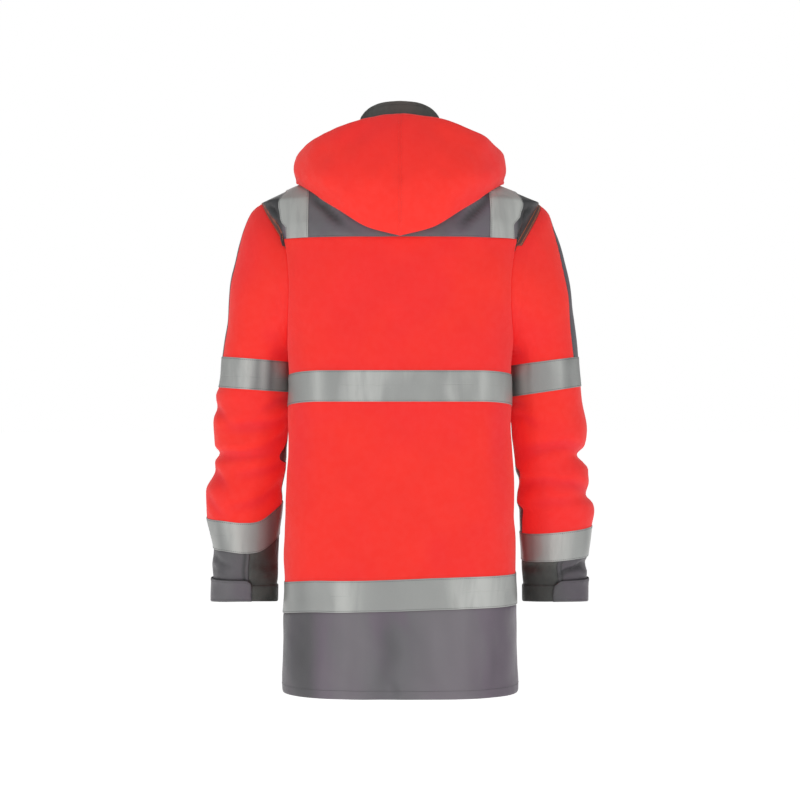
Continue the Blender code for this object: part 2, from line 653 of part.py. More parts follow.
def build_sleeves(skin, red, grey, dark, silver):
    """Both sleeves with their strips, tapes, cuffs, bands and tabs."""
    for side, table in (("left", SLEEVE_LEFT), ("right", SLEEVE_RIGHT)):
        ring = sleeve_grid(table)
        if side == "right":
            ring = mirrored(ring)
        count = ring.shape[1]
        half = count // 2
        looped = np.concatenate([ring, ring[:, :1]], axis=1)
        upper = UPPER_TAPE_ROWS[0] + 1
        strip = count - TOP_STRIP_COLUMNS
        inner = half + INNER_STRIP_COLUMNS
        cloth("sleeve_back_" + side, skin, looped[:CUFF_ROW + 1, :half + 1], red)
        cloth("sleeve_front_upper_" + side, skin, looped[:upper + 1, half:strip + 1], red)
        cloth("sleeve_top_strip_" + side, skin, looped[:upper + 1, strip:], grey)
        cloth("sleeve_front_lower_" + side, skin, looped[upper:CUFF_ROW + 1, inner:], red)
        cloth("sleeve_inner_strip_" + side, skin, looped[upper:CUFF_ROW + 1, half:inner + 1], grey)
        middle = YOKE_ROWS + 1
        around = np.concatenate([looped[:, count - middle:count], looped[:, :middle + 1]], axis=1)
        cloth("cuff_outer_" + side, skin, around[CUFF_ROW:], grey)
        cloth("cuff_inner_" + side, skin, looped[CUFF_ROW:, middle:count - middle + 1], dark)
        for name, (low, high) in (("upper", UPPER_TAPE_ROWS), ("lower", LOWER_TAPE_ROWS)):
            cloth(f"sleeve_tape_{name}_{side}", skin, ring[low:high + 1], silver, TAPE, GAP + TAPE, True)
        low, high = BAND_ROWS
        band_lift = GAP + BAND
        cloth("cuff_band_" + side, skin, ring[low:high + 1], dark, BAND, band_lift, True)
        tab = np.concatenate([looped[:, TAB_COLUMNS[0] - 1:-1], looped[:, :TAB_COLUMNS[1] + 1]], axis=1)
        low, high = TAB_ROWS
        cloth("cuff_tab_" + side, skin, tab[low:high + 1], grey, TAB, band_lift + GAP + TAB)


def neck_point(angle):
    """Point of the neck seam, from the middle of the back (0) to the middle of the front (pi)."""
    x = NECK_WIDTH * np.sin(angle)
    back = angle <= 0.5 * math.pi
    z = np.where(back, shoulder_top_z(x, "back"), shoulder_top_z(x, "front"))
    y = np.where(back, surface_y(x, z, "back"), surface_y(x, z, "front"))
    return np.stack([x, y, z], axis=-1)


def build_collar(grey):
    """Stand collar, open at the front for the zip."""
    top_z = curve(COLLAR_TOP, "angle", "z")
    top_reach = curve(COLLAR_TOP, "angle", "reach")
    degrees = np.linspace(-180 + COLLAR_SPLIT, 180 - COLLAR_SPLIT, 2 * COLLAR_COLUMNS + 1)
    size = np.abs(np.radians(degrees))
    base = neck_point(size)
    base[:, 0] *= np.sign(degrees) + (degrees == 0)
    base[:, 2] += COLLAR_RISE
    reach = top_reach(np.abs(degrees))
    facing = np.radians(degrees)
    top = np.stack([reach * np.sin(facing), reach * np.cos(facing), top_z(np.abs(degrees))], axis=-1)
    rows = []
    for t in (0.0, 0.5, 1.0):
        rows.append(base + (top - base) * t)
    outer = np.array(rows)
    outwards = outer * np.array([1.0, 1.0, 0.0])
    outwards /= np.linalg.norm(outwards, axis=-1, keepdims=True)
    wall("collar", outer, outer - outwards * COLLAR, grey)


def clear_of_yoke(points):
    """Pushes points out of the yoke, by the hood's clearance, in each plane of constant x."""
    pushed = points.copy()
    spacing = np.linspace(0, 1, 240) ** 2
    for index in np.ndindex(points.shape[:-1]):
        x, y, z = points[index]
        half = "back" if y >= 0 else "front"
        x = min(max(abs(x), NECK_WIDTH), SHOULDER_X - 1e-4)
        top = float(shoulder_top_z(x, half))
        heights = top - (top - YOKE_TIP_Z) * spacing
        line = np.stack([np.abs(surface_y(x, heights, half)), heights], axis=-1)
        offset = np.array([abs(y), z]) - line
        nearest = int(np.argmin(np.linalg.norm(offset, axis=-1)))
        along = np.gradient(line, axis=0)[nearest]
        outwards = np.array([-along[1], along[0]]) / np.linalg.norm(along)
        short = HOOD_CLEARANCE - float(offset[nearest] @ outwards)
        if short > 0:
            pushed[index][1] += outwards[0] * short * FACING[half]
            pushed[index][2] += outwards[1] * short
    return pushed


def hood_grid(reach, rim_sag):
    """Left-hand half of the hood, a profile from the neck seam to the turned-in rim at each angle."""
    profile = {name: curve(HOOD, "angle", name) for name in HOOD[0][1:]}
    columns = []
    for degrees in np.arange(HOOD_COLUMNS + 1) * (180 - COLLAR_SPLIT) / COLLAR_COLUMNS:
        facing = math.radians(degrees)
        seam = neck_point(np.array(facing))
        value = {name: float(at(degrees)) for name, at in profile.items()}
        value["rim_z"] -= rim_sag * math.sin(2 * facing) ** 2
        turn = min(RIM_TURN, 0.4 * value["rim_out"])
        bend = min(FOLD_BEND, 0.3 * value["fold_out"])
        route = (
            ("t", "out", "z"),
            (0.00, HOOD_SEAM_OUT, seam[2] + HOOD_SEAM_RISE),
            (0.18, 0.5 * value["fold_out"],
             0.5 * (seam[2] + value["fold_z"]) + HOOD_BULGE * math.cos(facing / 2)),
            (0.36, value["fold_out"] - bend, value["fold_z"] + bend),
            (0.42, value["fold_out"], value["fold_z"]),
            (0.48, value["fold_out"] + bend, value["fold_z"] + bend),
            (0.70, value["belly_out"], value["belly_z"]),
            (0.93, value["rim_out"], value["rim_z"]),
            (1.00, value["rim_out"] - turn, value["rim_z"] - 0.3 * turn),
        )
        t = np.linspace(0, 1, HOOD_ROWS + 1)
        out = curve(route, "t", "out")(t)
        height = curve(route, "t", "z")(t)
        x = (seam[0] + out * math.sin(facing)) * (1 + (reach - 1) * smooth_step(out / 0.05))
        y = seam[1] + out * math.cos(facing)
        columns.append(np.stack([x, y, height], axis=-1))
    return np.array(columns).transpose(1, 0, 2)


def build_hood(red):
    """The hood's two halves."""
    halves = {side: clear_of_yoke(hood_grid(HOOD_REACH[side], HOOD_RIM_SAG[side])) for side in ("left", "right")}
    halves["right"] = mirrored(halves["right"])
    hood_skin = Skin()
    for grid in halves.values():
        hood_skin.add("hood", grid, INSIDE_HOOD)
    for side, grid in halves.items():
        facing = hood_skin.normals(grid)
        cut = trimmed(grid)
        wall("hood_" + side, cut, cut - facing * HOOD_WALL, red, base=grid)


def front_y(x, z):
    """Outer face of the fronts and of the collar's front, near the middle."""
    collar = -COLLAR_TOP[-1][2] * np.sqrt(1 - (x / NECK_WIDTH) ** 2)
    return np.where(z < -FRONT_NECK_DROP, surface_y(x, np.minimum(z, -FRONT_NECK_DROP), "front"), collar)


def build_zip(grey, dark, metal):
    """Zip tapes, closed chain, slider and its pull tab."""
    heights = [row[0] for row in LEVELS[1:]]
    heights += [*ZIP_EXTRA_Z, -FRONT_NECK_DROP, ZIP_STOP_Z]
    heights = np.array(heights)

    def ribbon(name, low_x, high_x, near, far, finish):
        def line(x, depth):
            return np.stack([np.full(len(heights), x), front_y(abs(x), heights) + depth, heights], axis=-1)

        outer = np.stack([line(low_x, near), line(high_x, near)], axis=1)
        inner = np.stack([line(low_x, far), line(high_x, far)], axis=1)
        wall(name, outer, inner, finish)

    half_chain = ZIP_CHAIN_WIDTH / 2
    edge = half_chain + GAP
    ribbon("zip_chain", -half_chain, half_chain, ZIP_BEHIND - ZIP_CHAIN_DEPTH, ZIP_BEHIND + TAPE, dark)
    for side, sign in (("left", 1), ("right", -1)):
        ribbon("zip_tape_" + side, sign * edge, sign * (edge + ZIP_TAPE_WIDTH), ZIP_BEHIND, ZIP_BEHIND + TAPE,
               grey)
    build_slider(-COLLAR_TOP[-1][2], metal)


def build_slider(collar_y, metal):
    """Slider with two plates round the chain, ears and pin, and the tab that hangs on the pin."""
    half_width = SLIDER["width"] / 2
    plate = SLIDER["plate"]
    front_face = collar_y + ZIP_BEHIND - ZIP_CHAIN_DEPTH - SLIDER["play"] - plate
    back_face = collar_y + ZIP_BEHIND + TAPE + SLIDER["play"] + plate
    high = SLIDER_TOP_Z
    low = high - SLIDER["height"]
    slider = box("zip_slider", (-half_width, front_face, low), (half_width, front_face + plate, high), metal)
    back = box("slider_back", (-half_width, back_face - plate, low), (half_width, back_face, high), metal)
    half_neck = SLIDER_NECK["width"] / 2
    neck = box("slider_neck", (-half_neck, front_face + plate / 2, high - SLIDER_NECK["bottom"]),
               (half_neck, back_face - plate / 2, high - SLIDER_NECK["top"]), metal)
    pin_z = high - PIN["down"]
    pin_y = front_face - PIN["standoff"]
    parts = [back, neck]
    for name, sign in (("slider_ear_left", 1), ("slider_ear_right", -1)):
        near = sign * EAR["inside"]
        far = sign * (EAR["inside"] + EAR["thickness"])
        parts.append(box(name, (min(near, far), pin_y - EAR["beyond_pin"], pin_z - EAR["half_height"]),
                         (max(near, far), front_face + plate / 2, pin_z + EAR["half_height"]), metal))
    pin_length = 2 * EAR["inside"] + EAR["thickness"]
    parts.append(rod("slider_pin", (0, pin_y, pin_z), PIN["radius"], pin_length, metal))
    combine(slider, parts)

    eye_width = 2 * (EAR["inside"] - PULL["play"])
    tab = PULL["thickness"] / 2
    half_pull = PULL["width"] / 2
    pull = rod("zip_pull", (0, pin_y, pin_z), PULL["eye"], eye_width, metal, 20)
    shank = box("pull_shank", (-eye_width / 2, pin_y - tab, pin_z - PULL["shank_bottom"]),
                (eye_width / 2, pin_y + tab, pin_z - PULL["shank_top"]), metal)
    blade = box("pull_blade", (-half_pull, pin_y - tab, pin_z - PULL["length"]),
                (half_pull, pin_y + tab, pin_z - PULL["blade_top"]), metal)
    hole = rod("pull_hole", (0, pin_y, pin_z), PULL["hole"], 2 * eye_width, metal)
    combine(pull, [shank, blade])
    combine(pull, [hole], "DIFFERENCE")


def main():
    for old in list(bpy.data.objects):
        bpy.data.objects.remove(old, do_unlink=True)
    red = material("red_cloth", RED, 0.75)
    grey = material("grey_cloth", GREY, 0.7)
    dark = material("dark_cloth", DARK_GREY, 0.75)
    silver = material("silver_tape", SILVER, 0.35, 0.3)
    metal = material("zip_metal", METAL, 0.35, 0.9)
    skin = Skin()
    build_body(skin, red, grey, silver)
    build_sleeves(skin, red, grey, dark, silver)
    build_collar(dark)
    build_hood(red)
    build_zip(grey, dark, metal)


main()
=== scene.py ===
"""Long hooded hi-vis work jacket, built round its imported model.

Metres, +Z up. The front faces -Y and the wearer's left is +X. The origin is the middle of the neck opening.
Every cloth piece is a thin wall cut from one shared skin, which carries the creases, so that neighbours meet.
"""

import math
from dataclasses import dataclass, replace

import bmesh
import bpy
import numpy as np
from mathutils import Matrix, Vector


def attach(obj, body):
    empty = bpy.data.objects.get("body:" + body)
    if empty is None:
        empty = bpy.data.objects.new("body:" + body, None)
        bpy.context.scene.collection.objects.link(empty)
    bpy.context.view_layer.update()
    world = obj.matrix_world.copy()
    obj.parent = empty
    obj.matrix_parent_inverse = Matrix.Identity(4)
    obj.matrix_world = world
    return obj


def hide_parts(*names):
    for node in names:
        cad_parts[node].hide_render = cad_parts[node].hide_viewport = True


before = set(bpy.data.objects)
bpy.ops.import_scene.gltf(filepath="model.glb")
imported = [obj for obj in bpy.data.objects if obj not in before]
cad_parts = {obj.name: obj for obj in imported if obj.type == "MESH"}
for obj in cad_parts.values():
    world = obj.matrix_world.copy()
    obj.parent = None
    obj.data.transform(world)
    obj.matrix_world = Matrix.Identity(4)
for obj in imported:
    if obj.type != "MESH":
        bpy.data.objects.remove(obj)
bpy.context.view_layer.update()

bl_info = {
    "name": "Hi-vis work jacket",
    "version": (1, 0, 0),
    "blender": (4, 5, 0),
    "location": "View3D > Sidebar > Jacket",
    "description": "Builds a hooded hi-vis work jacket from its pattern pieces",
    "category": "Object",
}

SIDES = ("left", "right")
SIGN = {"left": 1.0, "right": -1.0}
HALVES = ("back", "front")
FACING = {"back": 1.0, "front": -1.0}

# ---------------------------------------------------------------- the pattern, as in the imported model

GAP = 0.0003            # between pieces that touch
SEAM_TRIM = 0.00006     # taken off each side of a seam
NECK_WIDTH = 0.070      # half the neck opening
FRONT_NECK_DROP = 0.040
SHOULDER_X = 0.231
SHOULDER_Z = -0.070
ARMPIT_X = 0.1850
ARMPIT_Z = -0.310
ARMHOLE_MIDDLE_Z = 0.5 * (SHOULDER_Z + ARMPIT_Z)
ARMHOLE_WIDEST_Z = -0.205
ARMHOLE_REACH = {"back": 0.091, "front": 0.082}
ARMHOLE_ROUNDNESS = {"upper": 1.55, "lower": 2.2}
YOKE_TIP_Z = -0.150
YOKE_SEAM_Z = {"back": -0.135, "front": -0.158}
FRONT_OPENING = 0.0045
ZIP_TAPE_WIDTH = 0.010
ZIP_BEHIND = 0.0044     # face of the zip tapes behind the face of the fronts
ZIP_CHAIN_WIDTH = 0.0060
ZIP_TOP_Z = 0.017

BODY = (
    ("z", "width", "back", "front", "back_square", "front_square", "hollow"),
    (0.000, NECK_WIDTH, 0.070, 0.074, 2.0, 2.0, 0.000),
    (-0.020, 0.1160, 0.086, 0.081, 2.0, 2.0, 0.000),
    (-0.040, 0.1620, 0.101, 0.090, 2.1, 2.0, 0.000),
    (SHOULDER_Z, SHOULDER_X, 0.116, 0.108, 2.3, 2.2, 0.000),
    (-0.095, 0.2230, 0.123, 0.118, 2.5, 2.4, 0.000),
    (-0.116, 0.2134, 0.127, 0.124, 2.8, 2.6, 0.000),
    (-0.150, 0.2010, 0.130, 0.131, 3.1, 2.8, 0.000),
    (-0.205, 0.1945, 0.132, 0.138, 3.8, 3.1, 0.000),
    (-0.260, 0.1890, 0.133, 0.141, 4.0, 3.2, 0.000),
    (-0.310, 0.1850, 0.134, 0.142, 4.0, 3.2, 0.002),
    (-0.360, 0.1845, 0.134, 0.142, 4.0, 3.2, 0.008),
    (-0.450, 0.1845, 0.133, 0.142, 4.0, 3.2, 0.008),
    (-0.550, 0.1885, 0.131, 0.141, 4.0, 3.2, 0.004),
    (-0.650, 0.1912, 0.130, 0.140, 3.5, 3.1, 0.000),
    (-0.875, 0.1950, 0.128, 0.138, 3.0, 2.9, 0.000),
)
HOLLOW_Y = -0.020
HOLLOW_SPREAD = 0.045

LEVELS = (
    ("row", "z", "dip_left", "dip_right", "bow_left", "bow_right"),
    (0, -0.8775, 0.000, 0.000, 0.000, 0.000),
    (1, -0.8060, 0.004, 0.000, 0.000, 0.000),
    (2, -0.7356, 0.0130, -0.0024, -0.0026, 0.0034),
    (3, -0.6846, 0.0128, -0.0024, -0.0028, 0.0038),
    (4, -0.6100, 0.006, 0.001, 0.000, 0.000),
    (5, -0.5300, 0.003, 0.003, 0.000, 0.000),
    (6, -0.4600, 0.007, 0.007, 0.000, 0.000),
    (7, -0.3995, 0.011, 0.010, 0.000, 0.000),
    (8, -0.3495, 0.011, 0.010, 0.000, 0.000),
    (9, ARMPIT_Z, 0.000, 0.000, 0.000, 0.000),
)
SIDE_ROWS = 5
SEAM_ROW = 14           # the yoke seam, in rows from the hem
ARMPIT_ROW = 9
YOKE_ROWS = 4
HEM_SEAM_ROW = 2
HEM_TAPE_ROWS = (2, 3)
CHEST_TAPE_ROWS = (7, 8)
DIP_STARTS = 0.45

COLUMNS = (
    ("column", "seam", "shoulder_x", "ring"),
    (0, 0.000, 0.0000, 0.000),
    (1, 0.185, 0.0270, 0.200),
    (2, 0.370, 0.0495, 0.370),
    (3, 0.510, 0.0647, 0.500),
    (4, 0.610, NECK_WIDTH, 0.600),
    (5, 0.700, 0.1480, 0.690),
    (6, 0.840, 0.1720, 0.780),
    (7, 0.975, 0.1960, 0.870),
    (8, 1.000, SHOULDER_X, 1.000),
)
SIDE_COLUMN = 8
SHOULDER_TAPE_COLUMNS = (5, 7)

# The sleeves' outlines as seen from the back: the outer edge and the inner edge at each station.
SLEEVE_OUTER = {
    "left": (
        ("row", "x", "z"),
        (0, SHOULDER_X, SHOULDER_Z), (1, 0.2470, -0.0850), (2, 0.2592, -0.1132), (3, 0.2708, -0.1510),
        (4, 0.2812, -0.1950), (5, 0.2870, -0.2440), (6, 0.2915, -0.2850), (7, 0.2961, -0.3250),
        (8, 0.3026, -0.3760), (8.22, 0.3070, -0.3886), (8.54, 0.3055, -0.4087), (9, 0.3130, -0.4360),
        (9.19, 0.3133, -0.4456), (9.73, 0.3106, -0.4726), (10, 0.3031, -0.4860), (10.55, 0.3102, -0.5013),
        (11, 0.3102, -0.5140), (11.11, 0.3108, -0.5181), (12, 0.3262, -0.5490), (12.8, 0.3252, -0.5850),
        (13, 0.3245, -0.5935), (13.5, 0.3203, -0.6172), (14, 0.3148, -0.6458), (15, 0.3190, -0.6750),
        (16, 0.3172, -0.6970), (17, 0.3158, -0.7090), (18, 0.3155, -0.7380)),
    "right": (
        ("row", "x", "z"),
        (0, SHOULDER_X, SHOULDER_Z), (1, 0.2480, -0.0860), (2, 0.2590, -0.1160), (3, 0.2695, -0.1510),
        (4, 0.2806, -0.1920), (5, 0.2885, -0.2380), (6, 0.2922, -0.2830), (7, 0.2965, -0.3250),
        (8, 0.3028, -0.3740), (8.47, 0.3074, -0.4087), (9, 0.3126, -0.4480), (9.1, 0.3126, -0.4540),
        (9.64, 0.3093, -0.4742), (10, 0.2984, -0.4890), (10.5, 0.3081, -0.5028), (10.85, 0.3157, -0.5131),
        (11.5, 0.3159, -0.5369), (12, 0.3139, -0.5570), (12.27, 0.3252, -0.5708), (12.5, 0.3276, -0.5826),
        (13, 0.3241, -0.6080), (14, 0.3164, -0.6590), (14.6, 0.3124, -0.6700), (15, 0.3132, -0.6780),
        (15.5, 0.3165, -0.6875), (16, 0.3170, -0.6970),
        (17, 0.3160, -0.7090), (18, 0.3155, -0.7380)),
}
SLEEVE_INNER = {
    "left": (
        ("row", "x", "z"),
        (0, 0.1850, ARMPIT_Z), (1, 0.1852, -0.3140), (2, 0.1850, -0.3176), (3, 0.1846, -0.3210),
        (4, 0.1840, -0.3240), (5, 0.1834, -0.3270), (6, 0.1828, -0.3300), (7, 0.1824, -0.3340),
        (8, 0.1828, -0.3840), (9, 0.1870, -0.4380), (10, 0.1914, -0.4800), (11, 0.1920, -0.5120),
        (12, 0.2000, -0.5500), (12.6, 0.1994, -0.5600), (13, 0.1995, -0.5690), (14, 0.2042, -0.6250),
        (15, 0.2060, -0.6740), (16, 0.2066, -0.6970), (17, 0.2080, -0.7090), (18, 0.2095, -0.7380)),
    "right": (
        ("row", "x", "z"),
        (0, 0.1850, ARMPIT_Z), (1, 0.1852, -0.3140), (2, 0.1850, -0.3175), (3, 0.1846, -0.3210),
        (4, 0.1840, -0.3245), (5, 0.1834, -0.3280), (6, 0.1828, -0.3330), (7, 0.1824, -0.3400),
        (8, 0.1828, -0.3920), (9, 0.1880, -0.4400), (10, 0.1920, -0.4830), (11, 0.1942, -0.5140),
        (11.6, 0.2001, -0.5353), (12, 0.1972, -0.5560), (12.3, 0.1974, -0.5680), (12.7, 0.2030, -0.5840),
        (13, 0.2036, -0.6190), (14, 0.2065, -0.6670), (15, 0.2066, -0.6820), (16, 0.2072, -0.6980),
        (17, 0.2082, -0.7090), (18, 0.2095, -0.7380)),
}
SLEEVE_HEAD = (
    ("row", "y", "depth", "tilt"),
    (0, 0.000, 0.088, 0.000), (1, 0.000, 0.086, 0.000), (2, -0.002, 0.084, 0.000), (3, -0.004, 0.082, 0.000),
    (4, -0.006, 0.079, 0.000), (5, -0.008, 0.076, 0.000), (6, -0.009, 0.073, 0.000), (7, -0.011, 0.071, 0.000),
    (8, -0.015, 0.070, 0.000))
SLEEVE_END = ((16, -0.055, 0.050, 0.000), (17, -0.056, 0.048, -0.002), (18, -0.058, 0.046, -0.004))
SLEEVE_FORM = {
    "left": (
        *SLEEVE_HEAD, (9, -0.023, 0.068, 0.002), (10, -0.030, 0.066, 0.004), (11, -0.034, 0.066, 0.005),
        (12, -0.038, 0.066, 0.006), (13, -0.043, 0.063, 0.008), (14, -0.049, 0.058, 0.007),
        (15, -0.053, 0.053, 0.003), *SLEEVE_END),
    "right": (
        *SLEEVE_HEAD, (9, -0.023, 0.068, 0.001), (10, -0.030, 0.066, 0.002), (11, -0.034, 0.066, 0.002),
        (12, -0.038, 0.065, 0.003), (13, -0.044, 0.062, 0.003), (14, -0.050, 0.057, 0.002),
        (15, -0.053, 0.053, 0.001), *SLEEVE_END),
}
SLEEVE_SQUARE = 2.35
SLEEVE_FREE_ROW = 7
UPPER_TAPE_ROWS = (7, 8)
LOWER_TAPE_ROWS = (13, 14)
CUFF_ROW = 14
BAND_ROWS = (17, 18)
TAB_ROWS = (16, 18)
CUFF_END_ROW = 18
ARMPIT_COLUMN = 9       # of the sleeve's 18 columns, from the outside round the back
SLEEVE_COLUMNS = 18
TOP_STRIP_COLUMN = 16
INNER_STRIP_COLUMN = 12
CUFF_SEAM_COLUMN = 5
TAB_COLUMNS = {"left": (-3.0, 5.45), "right": (-3.0, 5.12)}

COLLAR_TOP = (
    ("angle", "z", "reach"),
    (0, 0.092, 0.066),
    (22, 0.0908, 0.066),
    (48, 0.0850, 0.066),
    (72, 0.0735, 0.0680),
    (90, 0.066, 0.0665),
    (135, 0.052, 0.079),
    (180, 0.047, 0.090),
)
COLLAR_SPLIT = 4.0      # degrees left open each side of the zip
COLLAR_COLUMNS = 12
COLLAR_RISE = 0.0009
COLLAR_SWELL = 0.0016

HOOD = (
    ("angle", "fold_out", "fold_z", "belly_out", "belly_z", "rim_out", "rim_z"),
    (0, 0.0800, -0.136, 0.1020, -0.055, 0.0520, 0.063),
    (20, 0.0840, -0.122, 0.1080, -0.050, 0.0590, 0.060),
    (40, 0.0950, -0.090, 0.1160, -0.040, 0.0780, 0.048),
    (60, 0.1020, -0.062, 0.1180, -0.030, 0.0960, 0.030),
    (80, 0.1050, -0.044, 0.1140, -0.020, 0.1050, 0.009),
    (100, 0.0760, -0.038, 0.0870, -0.018, 0.0800, 0.001),
    (120, 0.0450, -0.037, 0.0550, -0.018, 0.0490, -0.003),
    (140, 0.0210, -0.040, 0.0290, -0.022, 0.0240, -0.006),
    (165, 0.0070, -0.040, 0.0130, -0.028, 0.0100, -0.012),
)
HOOD_REACH = {"left": 0.965, "right": 0.970}
HOOD_RIM_SAG = {"left": 0.004, "right": 0.001}
HOOD_ROWS = 10
HOOD_CLEARANCE = 0.0050
HOOD_SEAM_OUT = 0.0006
HOOD_SEAM_RISE = 0.004
HOOD_BULGE = 0.020
RIM_TURN = 0.012
FOLD_BEND = 0.006

# The slider, with its heights measured down from its top, and the pull tab on its pin.
SLIDER_TOP_Z = 0.022
SLIDER = {"width": 0.0090, "height": 0.0120, "plate": 0.0014, "play": 0.0006}
SLIDER_NECK = {"width": 0.0032, "top": 0.0006, "bottom": 0.0040}
PIN = {"radius": 0.0008, "down": 0.0030, "standoff": 0.0032}
EAR = {"inside": 0.0022, "thickness": 0.0012, "half_height": 0.0018, "beyond_pin": 0.0016}
PULL = {"length": 0.030, "width": 0.0060, "thickness": 0.0014, "eye": 0.0022, "hole": 0.0012, "play": 0.0004,
        "shank_top": 0.0014, "shank_bottom": 0.0070, "blade_top": 0.0062}
ZIP_TAPE = 0.0010
CHAIN_DEPTH = 0.0024

# ---------------------------------------------------------------- folds

# Folds in the body: which half, the line in x and z, depth, width, and lean (which side of the line rises).
BODY_FOLDS = (
    ("half", "line", "depth", "width", "lean"),
    ("back", ((-0.148, -0.064), (-0.122, -0.090), (-0.096, -0.120)), 0.0046, 0.0080, 0.7),
    ("back", ((-0.118, -0.082), (-0.098, -0.098), (-0.076, -0.124)), 0.0016, 0.0080, -0.5),
    ("back", ((0.144, -0.068), (0.122, -0.084), (0.098, -0.108)), 0.0042, 0.0080, -0.7),
    ("back", ((0.112, -0.098), (0.094, -0.112), (0.070, -0.128)), 0.0014, 0.0080, 0.4),
    ("back", ((0.216, -0.076), (0.205, -0.086), (0.199, -0.100)), 0.0030, 0.0042, 0.6),
    ("back", ((0.208, -0.098), (0.201, -0.110), (0.197, -0.124)), 0.0024, 0.0042, -0.6),
    ("back", ((-0.216, -0.078), (-0.206, -0.088), (-0.200, -0.104)), 0.0030, 0.0042, -0.6),
    ("back", ((-0.207, -0.102), (-0.200, -0.114), (-0.195, -0.128)), 0.0022, 0.0042, 0.6),
    ("back", ((0.112, -0.735), (0.108, -0.800), (0.116, -0.872)), -0.0032, 0.0190, 0.0),
    ("back", ((-0.082, -0.738), (-0.078, -0.800), (-0.086, -0.872)), -0.0026, 0.0200, 0.0),
    ("back", ((0.026, -0.736), (0.014, -0.800), (0.030, -0.872)), 0.0024, 0.0180, 0.0),
    ("back", ((-0.150, -0.760), (-0.154, -0.820), (-0.150, -0.872)), 0.0016, 0.0130, 0.3),
    ("back", ((0.158, -0.750), (0.160, -0.810), (0.156, -0.870)), 0.0014, 0.0130, -0.3),
    ("back", ((0.010, -0.846), (0.004, -0.862), (0.008, -0.875)), 0.0016, 0.0070, 0.5),
    ("back", ((0.170, -0.320), (0.158, -0.430), (0.164, -0.560)), 0.0014, 0.0240, 0.0),
    ("back", ((-0.168, -0.330), (-0.160, -0.450), (-0.166, -0.600)), 0.0014, 0.0240, 0.0),
    ("front", ((0.110, -0.160), (0.120, -0.260), (0.105, -0.380)), 0.0022, 0.0220, 0.3),
    ("front", ((-0.104, -0.170), (-0.122, -0.280), (-0.112, -0.400)), 0.0022, 0.0220, -0.3),
    ("front", ((0.090, -0.430), (0.112, -0.560), (0.098, -0.700)), 0.0018, 0.0240, 0.0),
    ("front", ((-0.098, -0.440), (-0.110, -0.580), (-0.092, -0.710)), 0.0018, 0.0240, 0.0),
    ("front", ((0.140, -0.080), (0.112, -0.105), (0.086, -0.140)), 0.0022, 0.0090, 0.6),
    ("front", ((-0.136, -0.078), (-0.110, -0.100), (-0.080, -0.138)), 0.0022, 0.0090, -0.6),
    ("front", ((0.106, -0.738), (0.100, -0.800), (0.110, -0.872)), -0.0024, 0.0200, 0.0),
    ("front", ((-0.102, -0.738), (-0.108, -0.800), (-0.100, -0.872)), -0.0024, 0.0200, 0.0),
    ("front", ((0.048, -0.745), (0.050, -0.810), (0.044, -0.870)), 0.0016, 0.0170, 0.0),
    ("front", ((-0.050, -0.745), (-0.046, -0.810), (-0.052, -0.870)), 0.0016, 0.0170, 0.0),
)
